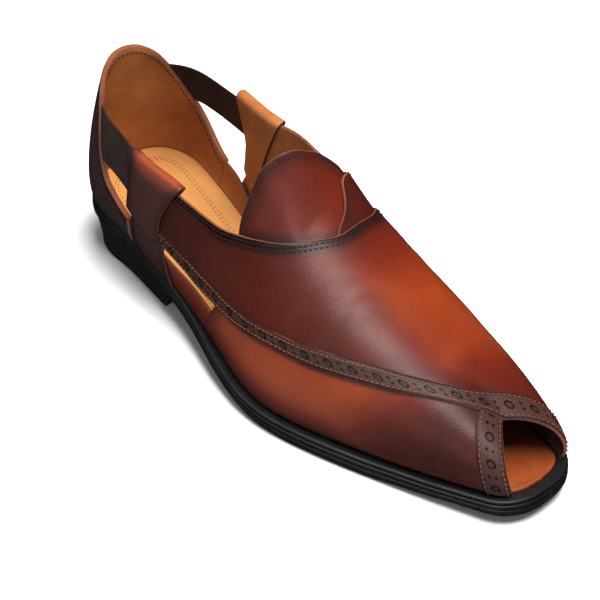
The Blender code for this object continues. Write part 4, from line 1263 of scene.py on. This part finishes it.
def keeper(name, table, seam, tunnel, side, skin_start):
    rear_outside, front, rear_inside = (curve_through(table, k) for k in (1, 2, 3))
    middle = []
    for c in np.linspace(0.0, 1.0, KEEPER_COLUMNS):
        seam_share = seam[0] + (seam[1] - seam[0]) * c
        tunnel_height = tunnel[0] + tunnel[1] * c
        heights, depths = keeper_path(seam_share, tunnel_height, wing_inside(side))
        share = np.clip(heights / tunnel_height, 0.0, 1.0)
        outside = np.arange(len(heights)) > np.argmax(heights)
        rear = np.where(outside, rear_outside(share), rear_inside(share))
        at = rear + (front(share) - rear) * c
        levels = feather(at * LENGTH) + heights
        point, normal = last_surface(at, turn_at_height(at, side, levels))
        middle.append(point + normal * depths[:, None])
    middle = np.array(middle)
    normal = unit(np.cross(np.gradient(middle, axis=0), np.gradient(middle, axis=1))) * side
    half = normal * STRAP_LEATHER / 2.0
    along = np.linspace(0.0, 1.0, KEEPER_COLUMNS)[:, None]
    low = np.clip((middle[..., 2] - feather(middle[..., 1])) / tunnel[0], 0.0, 1.0)
    burnish_and_painted_light = STRAP_BURNISH + border(along, STRAP_REAR) + border(1.0 - along, STRAP_FRONT)
    # The crest is painted lighter: a painted highlight along the fold.
    burnish_and_painted_light = np.clip(burnish_and_painted_light + border(low, STRAP_FOOT) - border(1.0 - low, STRAP_CREST_HIGHLIGHT), 0.0, 1.0)
    skin = np.arange(middle.shape[1] - 1) >= skin_start
    grids = [grid[:, ::side] for grid in (middle + half, middle - half, burnish_and_painted_light)]
    slots = [np.where(skin, *pair)[None, ::side] for pair in ((1, 0), (0, 1))]
    for face in grids[:2]:
        foot = face[:, 0] if side > 0 else face[:, -1]
        foot[:, 2] = feather(foot[:, 1])
    made = sheet(name, *grids[:2], [KEEPER_SKIN, LINING, FOLD_EDGE], "keeper_leather",
                 {"burnish_and_painted_light": grids[2]}, *slots)
    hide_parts(name)


lateral_tunnel = (LATERAL_TUNNEL_HEIGHT, 0.0)
medial_tunnel = (MEDIAL_TUNNEL_HEIGHT, MEDIAL_TUNNEL_RISE)
keeper("keeper_lateral", LATERAL_KEEPER, LATERAL_SEAM, lateral_tunnel, 1, FOLD_START)
keeper("keeper_medial", MEDIAL_KEEPER, MEDIAL_SEAM, medial_tunnel, -1, FOLD_CREST)

# %% [markdown]
# The elastics are flat woven straps from a slot in the counter's edge to the keepers. Their ribs
# run across the strap and their threads along it, so two stored numbers are enough to draw both as
# waves. A cloth simulation isn't needed, because the straps are pulled straight.

# %% The elastics
RIB_PITCH = 0.0011
THREAD_PITCH = 0.7 * RIB_PITCH


def wave(tree, value, pitch):
    return maths(tree, "SINE", maths(tree, "MULTIPLY", value, 2.0 * math.pi / pitch))


def webbing():
    material, tree, shader = start_material("elastic_webbing_look")
    parts = node(tree, "ShaderNodeSeparateXYZ", Vector=stored(tree, "strip")["Vector"]).outputs
    threads = maths(tree, "MULTIPLY", wave(tree, parts[1], THREAD_PITCH), 0.35)
    weave = maths(tree, "ADD", wave(tree, parts[0], RIB_PITCH), threads)
    patch = maths(tree, "ADD", maths(tree, "MULTIPLY", weave, 0.12), noise(tree, 70.0, 4.0, 0.6))
    colour = ramp(tree, patch, ((0.2, (0.014, 0.0075, 0.006)), (0.8, (0.040, 0.021, 0.016))))
    tree.links.new(colour, shader.inputs["Base Color"])
    bumped(tree, shader, Strength=0.3, Distance=0.0002, Height=weave)
    shader.inputs["Roughness"].default_value = 0.85
    shader.inputs["Specular IOR Level"].default_value = 0.2
    return material


WEBBING = webbing()


def elastic(name, ends, side):
    (rear, rear_height), (front, front_height) = ends
    across = np.linspace(1.0, -1.0, 16)
    along = np.linspace(0.0, 1.0, 80)[:, None]
    at = (rear - ELASTIC_REAR_SLANT * across[None, :]) * (1.0 - along) + front * along
    middle = (rear_height + (front_height - rear_height) * along) * INSTEP_HEIGHT
    width = LATERAL_ELASTIC_WIDTH if side > 0 else MEDIAL_ELASTIC_WIDTH
    height = middle + width / 2.0 * across[None, :]
    places = np.stack([at, turn_at_height(at, side, height)], axis=-1)
    places = places if side < 0 else places[:, ::-1]
    shift = smooth_step((along - 0.45) / 0.4)
    wing = -VAMP_LEATHER / 2.0 if side > 0 else (UNDER_TOP + UNDER_LOW) / 2.0
    depth = -COUNTER_WALL / 2.0 * (1.0 - shift) + wing * shift
    face = on_last(places, depth + ELASTIC_THICKNESS / 2.0)
    made = sheet(name, face, on_last(places, depth - ELASTIC_THICKNESS / 2.0), [WEBBING], "elastic_webbing",
                 {"strip": along_and_across(face)}, 0, 0)
    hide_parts(name)


elastic("elastic_lateral", LATERAL_ELASTIC, 1)
elastic("elastic_medial", MEDIAL_ELASTIC, -1)

# %% [markdown]
# The sole pieces are stacks of outlines. Each outline runs along the lateral side to the toe and
# back along the medial side, pushed in or out and set at its own height. The profile up the side
# gives the welt its bead and the sole its step.

# %% Solids from stacked outlines
def outline(fractions, outward, height):
    sides = []
    for side in (1.0, -1.0):
        plan = edge_point(fractions, side, outward)
        level = height(plan[:, 1]) if callable(height) else np.full(len(plan), height)
        sides.append(np.column_stack([plan, level]))
    return np.concatenate([sides[0], sides[1][::-1]])


def stacked_sides(fractions, levels):
    """Rings of points from the bottom up, and the faces between them."""
    rings = np.array([outline(fractions, outward, height) for outward, height in levels])
    number = np.arange(rings.shape[0] * rings.shape[1]).reshape(rings.shape[:2])
    return rings, cells_round(number[:-1], number[1:])


def level_between(bottom, top, share):
    """Height at a share of the way between two faces of a sole piece."""
    return lambda y: bottom(y) + (top(y) - bottom(y)) * share


def stacked(name, fractions, levels, material, slot, across=24, value=None, dish=0.0):
    """A solid of outlines from the bottom up, with a flat cap below and a dished one above."""
    count = len(fractions)
    rings, cells = stacked_sides(fractions, levels)
    quads, points = [cells], [rings.reshape(-1, 3)]
    start = len(points[0])
    blend = np.linspace(0.0, 1.0, across)[None, :, None]
    for ring, up in ((rings[0], False), (rings[-1], True)):
        cap = ring[:count, None] * (1.0 - blend) + ring[count:][::-1][:, None] * blend
        if up:
            cap[..., 2] -= dish * np.clip(4.0 * blend[..., 0] * (1.0 - blend[..., 0]), 0.0, 1.0)
        cells = grid_cells(np.arange(cap.shape[0] * across).reshape(cap.shape[:2]) + start)
        quads.append(cells if up else cells[:, ::-1])
        points.append(cap.reshape(-1, 3))
        start += cap.shape[0] * across
    points, quads = np.concatenate(points), np.concatenate(quads)
    values = {"burnish_and_painted_light": value(points)} if value else {}
    return add_piece(name, points, quads, np.zeros(len(quads)), [material], values, slot)


# %% [markdown]
# The insole is honey coloured under the foot. Towards the toe, where the vamp covers it, it is painted
# darker and redder as painted shade. It is a soft board under thin leather, so its edge is rounded
# and its middle is pressed in a little.

# %% The insole
# The insole's dark colour is painted shade, used towards the toe under the vamp.
INSOLE_SKIN = burnished_leather("insole_leather_look", (0.50, 0.225, 0.066), (0.39, 0.140, 0.036),
                                (0.16, 0.026, 0.006), gloss=0.50, strength=0.16, cell=1300.0, coat=0.04)
INSOLE_INSET = 0.0028
# Share of the insole's thickness, how far its edge is pushed in there, and share of the spread
# that brings the edge out to the rims and the counter.
INSOLE_SIDE = (
    (0.00, 0.0000, 0.0),
    (0.50, 0.0000, 0.0),
    (0.80, 0.0000, 1.0),
    (0.92, 0.0003, 1.0),
    (0.98, 0.0008, 1.0),
    (1.00, 0.0016, 1.0),
)
INSOLE_SPREAD = 0.0013
INSOLE_DISH = 0.0006
# Dark share at the heel and at the toe; the dark toe is painted shade where the vamp covers the insole.
INSOLE_TOE_SHADE = (0.10, 0.95)
side_fractions = np.linspace(0.0, 1.0, 181)
insole_stations = station_at(side_fractions) / LENGTH
rear_part = smooth_between(insole_stations, 0.05, 0.14)
spread = INSOLE_SPREAD * rear_part * (1.0 - smooth_between(insole_stations, 0.42, 0.50))
insole_levels = [(-INSOLE_INSET + spread * wide - inward, level_between(insole_bottom, insole_top, share))
                 for share, inward, wide in INSOLE_SIDE]


def insole_toe_shade(points):
    toe = smooth_between(points[:, 1] / LENGTH, 0.60, 0.84)
    return INSOLE_TOE_SHADE[0] + (INSOLE_TOE_SHADE[1] - INSOLE_TOE_SHADE[0]) * toe


insole = stacked("insole", side_fractions, insole_levels, INSOLE_SKIN, "insole_leather", 40, insole_toe_shade,
                 INSOLE_DISH)
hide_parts("insole")

# %% [markdown]
# Sole, welt and heel are black rubber with a satin gloss. The roughness wanders a little, because
# even black rubber is never evenly clean. The heel is stacked from layers, and a wave that runs up
# the height draws their fine level lines as bump.

# %% Rubber
def rubber(name, dark, light, gloss, line=0.0):
    """Black rubber with a satin gloss. A line height draws fine level lines up a stacked heel."""
    material, tree, shader = start_material(name)
    colour = ramp(tree, noise(tree, 90.0, 4.0, 0.6), ((0.3, dark), (0.75, light)))
    tree.links.new(colour, shader.inputs["Base Color"])
    polished(tree, shader, 140.0, gloss, 0.20)
    height = noise(tree, 1500.0, 2.0, 0.6)
    if line:
        place = tree.nodes.new("ShaderNodeTexCoord").outputs["Object"]
        up = node(tree, "ShaderNodeSeparateXYZ", Vector=place).outputs[2]
        layers = maths(tree, "MULTIPLY", wave(tree, up, line), 0.9)
        height = maths(tree, "ADD", layers, maths(tree, "MULTIPLY", height, 0.4))
    bumped(tree, shader, Strength=0.22, Distance=0.0003, Height=height)
    return material


SOLE_RUBBER = rubber("sole_rubber_look", (0.0065, 0.0065, 0.007), (0.013, 0.013, 0.0135), 0.40)
HEEL_RUBBER = rubber("heel_rubber_look", (0.008, 0.008, 0.0085), (0.015, 0.015, 0.0155), 0.52, line=0.0016)

# %% [markdown]
# The outsole's side is cut with a knife and then inked, so it has a crisp step at half height and
# a rounded top edge under the welt.

# %% Outsole, welt and heel
# How far the side stands out from the ledge, and share of the height.
OUTSOLE_SIDE = (
    (-0.0014, 0.00), (-0.0008, 0.03), (-0.0003, 0.10), (0.0000, 0.22), (0.0001, 0.40),
    (0.0000, 0.52), (-0.0002, 0.560), (-0.0008, 0.585), (-0.0008, 0.610), (-0.0003, 0.635),
    (0.0000, 0.68), (0.0000, 0.86), (-0.0002, 0.94), (-0.0007, 0.99), (-0.0016, 1.00),
)
WELT_SIDE = (
    (-0.0014, 0.00), (-0.0008, 0.04), (-0.0003, 0.18), (0.0000, 0.38), (0.0000, 0.60),
    (-0.0003, 0.80), (-0.0008, 0.95), (-0.0014, 1.00),
)
sole_fractions = np.linspace(0.0, 1.0, 221)
sole_out = ledge(station_at(sole_fractions))
sole_levels = [(sole_out + out, level_between(underside, sole_top, share)) for out, share in OUTSOLE_SIDE]
outsole = stacked("outsole", sole_fractions, sole_levels, SOLE_RUBBER, "sole_rubber")
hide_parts("outsole")

EDGE_STEP = 0.12
welt_out = sole_out - EDGE_STEP * WELT_THICKNESS
welt_inner = np.full(221, -(COUNTER_WALL + 0.5 * GAP))
welt_section = [(welt_inner, 0.0)] + [(welt_out + out, share) for out, share in WELT_SIDE]
welt_section += [(welt_inner, 1.0), (welt_inner, 0.0)]
welt_rings, welt_quads = stacked_sides(
    sole_fractions, [(out, level_between(welt_bottom, welt_top, share)) for out, share in welt_section])
welt = add_piece("welt", welt_rings.reshape(-1, 3), welt_quads, np.zeros(len(welt_quads)), [SOLE_RUBBER], {},
                 "sole_rubber")
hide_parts("welt")


def heel_inset(y):
    forward = smooth_step(y / (0.4 * HEEL_BREAST * LENGTH))
    return HEEL_TAPER_BACK + (HEEL_TAPER_SIDE - HEEL_TAPER_BACK) * forward


def heel_bottom(y):
    return TOP_PIECE_THICKNESS + GAP + 0.0 * y


def heel_seat(y):
    return underside(y) - GAP


heel_fractions = np.linspace(0.0, 1.0, 111) * float(fraction_at(HEEL_BREAST * LENGTH))
heel_y = station_at(heel_fractions)
heel_foot = ledge(heel_y) - heel_inset(heel_y)
heel_top = ledge(heel_y) - EDGE_STEP * SOLE_THICKNESS
heel_levels = [(heel_foot * (1.0 - share) + heel_top * share, level_between(heel_bottom, heel_seat, share))
               for share in np.linspace(0.0, 1.0, 12)]
heel = stacked("heel", heel_fractions, heel_levels, HEEL_RUBBER, "heel_rubber", 12)
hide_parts("heel")
# How far the walking layer's edge is pushed in, and height over the floor.
TOP_PIECE_SIDE = ((0.0007, 0.0), (0.0002, 0.0003), (0.0, 0.0008), (0.0, TOP_PIECE_THICKNESS - 0.0003),
                  (0.0003, TOP_PIECE_THICKNESS))
top_levels = [(heel_foot - inward, height) for inward, height in TOP_PIECE_SIDE]
top_piece = stacked("heel_top_piece", heel_fractions, top_levels, HEEL_RUBBER, "heel_rubber", 12)
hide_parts("heel_top_piece")

# %% [markdown]
# Stitches are what makes leather work look sewn. Each one is a small capsule that stands proud of
# the leather in its middle and dives in at both ends. All stitches of a seam are one mesh. A seam
# beside an edge of the last follows the last, and one beside a lifted edge follows the panel.

# %% Stitches
STITCH_PITCH = 0.0026
STITCH_LENGTH = 0.0019
STITCH_RADIUS = 0.00032
# Along the stitch as a share of half its length, and its radius and lift as shares of the radius.
STITCH_RINGS = ((-1.0, 0.30, -0.9), (-0.62, 0.85, -0.1), (0.0, 1.0, 0.15), (0.62, 0.85, -0.1),
                (1.0, 0.30, -0.9))
STITCH_ROUND = 6
STITCH_PROUD = 0.6


def at_reach(at, reach, rows):
    """Values of rows at given distances along their line."""
    return np.stack([np.interp(at, reach, column) for column in rows.T], axis=-1)


def stitches(name, rows, material, slot):
    """Joined capsules along rows of points with normals, at the sewing pitch."""
    angle = np.arange(STITCH_ROUND) / STITCH_ROUND * 2.0 * np.pi
    half = STITCH_LENGTH / 2.0
    shape = np.array([(u * half, np.cos(a) * r * STITCH_RADIUS, (np.sin(a) * r + lift) * STITCH_RADIUS)
                      for u, r, lift in STITCH_RINGS for a in angle])
    grid = np.arange(len(shape)).reshape(len(STITCH_RINGS), STITCH_ROUND)
    ahead = np.roll(grid, -1, axis=1)
    faces = np.stack([grid[:-1], grid[1:], ahead[1:], ahead[:-1]], axis=-1).reshape(-1, 4)
    points, quads, total = [], [], 0
    for line, normal in rows:
        reach = reach_along(line)
        at = np.arange(STITCH_PITCH / 2.0, reach[-1] - STITCH_PITCH / 2.0, STITCH_PITCH)
        run = unit(at_reach(at, reach, np.gradient(line, axis=0)))
        up = unit(at_reach(at, reach, normal))
        axes = np.stack([run, np.cross(up, run), up], axis=1)
        solid = at_reach(at, reach, line)[:, None] + shape @ axes
        points.append(solid.reshape(-1, 3))
        starts = total + np.arange(len(at)) * len(shape)
        quads.append((faces[None] + starts[:, None, None]).reshape(-1, 4))
        total += len(at) * len(shape)
    quads = np.concatenate(quads)
    print(name, total // len(shape), "stitches")
    return add_piece(name, np.concatenate(points), quads, np.zeros(len(quads)), [material], {}, slot)


def seam(places, inset, depth=0.0):
    """A row beside an edge on the lasted surface, moved in towards the leather by the inset."""
    point, normal = last_surface(places[:, 0], places[:, 1])
    over = np.cross(normal, unit(np.gradient(point, axis=0)))
    return point + over * inset + normal * (depth + STITCH_RADIUS * STITCH_PROUD), normal


def inside_row(face, inset):
    """A row at a distance in from a panel's first row of points, with the panel's normals."""
    steps = np.linalg.norm(np.diff(face, axis=0), axis=2)
    reach = np.concatenate([np.zeros((1, face.shape[1])), np.cumsum(steps, axis=0)])
    up = unit(np.cross(np.gradient(face, axis=0), np.gradient(face, axis=1)))
    both = np.concatenate([face, up], axis=-1)
    row = np.array([at_reach(inset, reach[:, j], both[:, j]) for j in range(face.shape[1])])
    return row[:, :3] + row[:, 3:] * STITCH_RADIUS * STITCH_PROUD, row[:, 3:]


# %% [markdown]
# Every seam keeps its own distance from the edge that it holds, as a sewing machine's guide does.
# The distances are named, and one loop sews all of them.

# %% The seams
BAND_SEAM = 0.0015
THROAT_SEAM = 0.0016
THROAT_SEAM_GAP = 0.0022
WING_SEAM = 0.0016
TONGUE_SEAM = 0.0030
COUNTER_SEAM = 0.0032
INSOLE_ROWS = (0.0080, 0.0096)
INSOLE_SINK = 0.00045
band_rows = [seam(lower_edge, BAND_SEAM, BAND_PROUD), seam(upper_edge, -BAND_SEAM, BAND_PROUD),
             seam(between(*TOE_STRIP_REAR, 200), -BAND_SEAM, UNDER_TOP + BAND_PROUD),
             seam(between(*TOE_STRIP_FRONT, 200), BAND_SEAM, UNDER_TOP + BAND_PROUD)]
throat_edge = points_along(VAMP_THROAT_EDGE, 400)
throat_rows = [seam(throat_edge, -THROAT_SEAM), seam(throat_edge, -THROAT_SEAM - THROAT_SEAM_GAP)]
counter_lining = counter_inner[:, ::-1].swapaxes(0, 1)[:, ::-1]
insole_rows = []
for side in (1.0, -1.0):
    for inset in INSOLE_ROWS:
        plan = edge_point(np.linspace(0.005, 0.50, 200), side, np.full(200, -INSOLE_INSET - inset))
        level = insole_top(plan[:, 1]) - INSOLE_SINK
        insole_rows.append((np.column_stack([plan, level]), np.tile((0.0, 0.0, 1.0), (200, 1))))
wing_rows = [seam(points_along(MEDIAL_WING_TOP, 300), WING_SEAM, UNDER_TOP)]
for name, rows, thread, slot in (
        ("band_stitches", band_rows, THREAD, "upper_leather"),
        ("throat_stitches", throat_rows, DARK_THREAD, "upper_leather"),
        ("tongue_stitches", [inside_row(tongue_face, TONGUE_SEAM)], DARK_THREAD, "tongue_leather"),
        ("counter_stitches", [inside_row(counter_lining, COUNTER_SEAM)], DARK_THREAD, "upper_leather"),
        ("insole_stitches", insole_rows, INSOLE_THREAD, "insole_leather"),
        ("wing_stitches", wing_rows, DARK_THREAD, "upper_leather")):
    stitches(name, rows, thread, slot)

# %% [markdown]
# The picture was taken under soft light from above, on a white table. One broad lamp lights the
# shoe without showing in its gloss, and a narrower one makes only the sheen on the vamp, so that
# each can be set by itself. A weak fill opens the shade. The floor and the world stay out of the
# gloss too, which keeps the dark leathers deep.

# %% Floor and light
FLOOR_SIZE = 6.0


def make_floor():
    mesh = bpy.data.meshes.new("floor")
    half = FLOOR_SIZE / 2.0
    corners = [(x * half, y * half, 0.0) for x, y in ((-1, -1), (1, -1), (1, 1), (-1, 1))]
    mesh.from_pydata(corners, [], [(0, 1, 2, 3)])
    floor = in_scene(bpy.data.objects.new("floor", mesh))
    material, tree, shader = start_material("floor_white")
    shader.inputs["Base Color"].default_value = (0.93, 0.93, 0.93, 1.0)
    shader.inputs["Roughness"].default_value = 0.9
    shader.inputs["Specular IOR Level"].default_value = 0.1
    mesh.materials.append(material)
    floor.visible_glossy = False


def lamp(name, place, target, width, height, power):
    data = bpy.data.lights.new(name, "AREA")
    data.shape = "RECTANGLE"
    data.size = width
    data.size_y = height
    data.energy = power
    item = in_scene(bpy.data.objects.new(name, data))
    item.location = place
    item.rotation_euler = (Vector(target) - Vector(place)).to_track_quat("-Z", "Y").to_euler()
    return item


make_floor()
overhead = lamp("overhead_lamp", (-0.22, 0.16, 1.30), (0.0, 0.02, 0.03), 1.1, 0.8, 47.0)
overhead.visible_glossy = False
sheen = lamp("sheen_lamp", (0.45, 0.20, 1.30), (0.0, 0.0, 0.05), 0.95, 0.45, 14.0)
sheen.visible_diffuse = False
lamp("side_fill", (1.4, 0.3, 0.6), (0.0, 0.0, 0.04), 1.2, 0.8, 2.5)
world = bpy.data.worlds.new("studio")
world.use_nodes = True
world.node_tree.nodes["Background"].inputs["Color"].default_value = (1.0, 1.0, 1.0, 1.0)
world.node_tree.nodes["Background"].inputs["Strength"].default_value = 0.20
world.cycles_visibility.glossy = False
bpy.context.scene.world = world
bpy.context.scene.view_settings.view_transform = "Standard"

# %% [markdown]
# The camera stands where it stood for the picture, to the front and outer side, and looks down at
# the middle of this one shoe with a longer lens.

# %% Camera
CAMERA_PLACE = Vector((0.5826, 0.6079, 0.8412))
CAMERA_TARGET = Vector((0.002, -0.003, 0.036))
CAMERA_LENS = 145.0
camera_data = bpy.data.cameras.new("camera")
camera_data.lens = CAMERA_LENS
camera_data.sensor_width = 36.0
camera = in_scene(bpy.data.objects.new("camera", camera_data))
camera.location = CAMERA_PLACE
camera.rotation_euler = (CAMERA_TARGET - CAMERA_PLACE).to_track_quat("-Z", "Y").to_euler()
bpy.context.scene.camera = camera
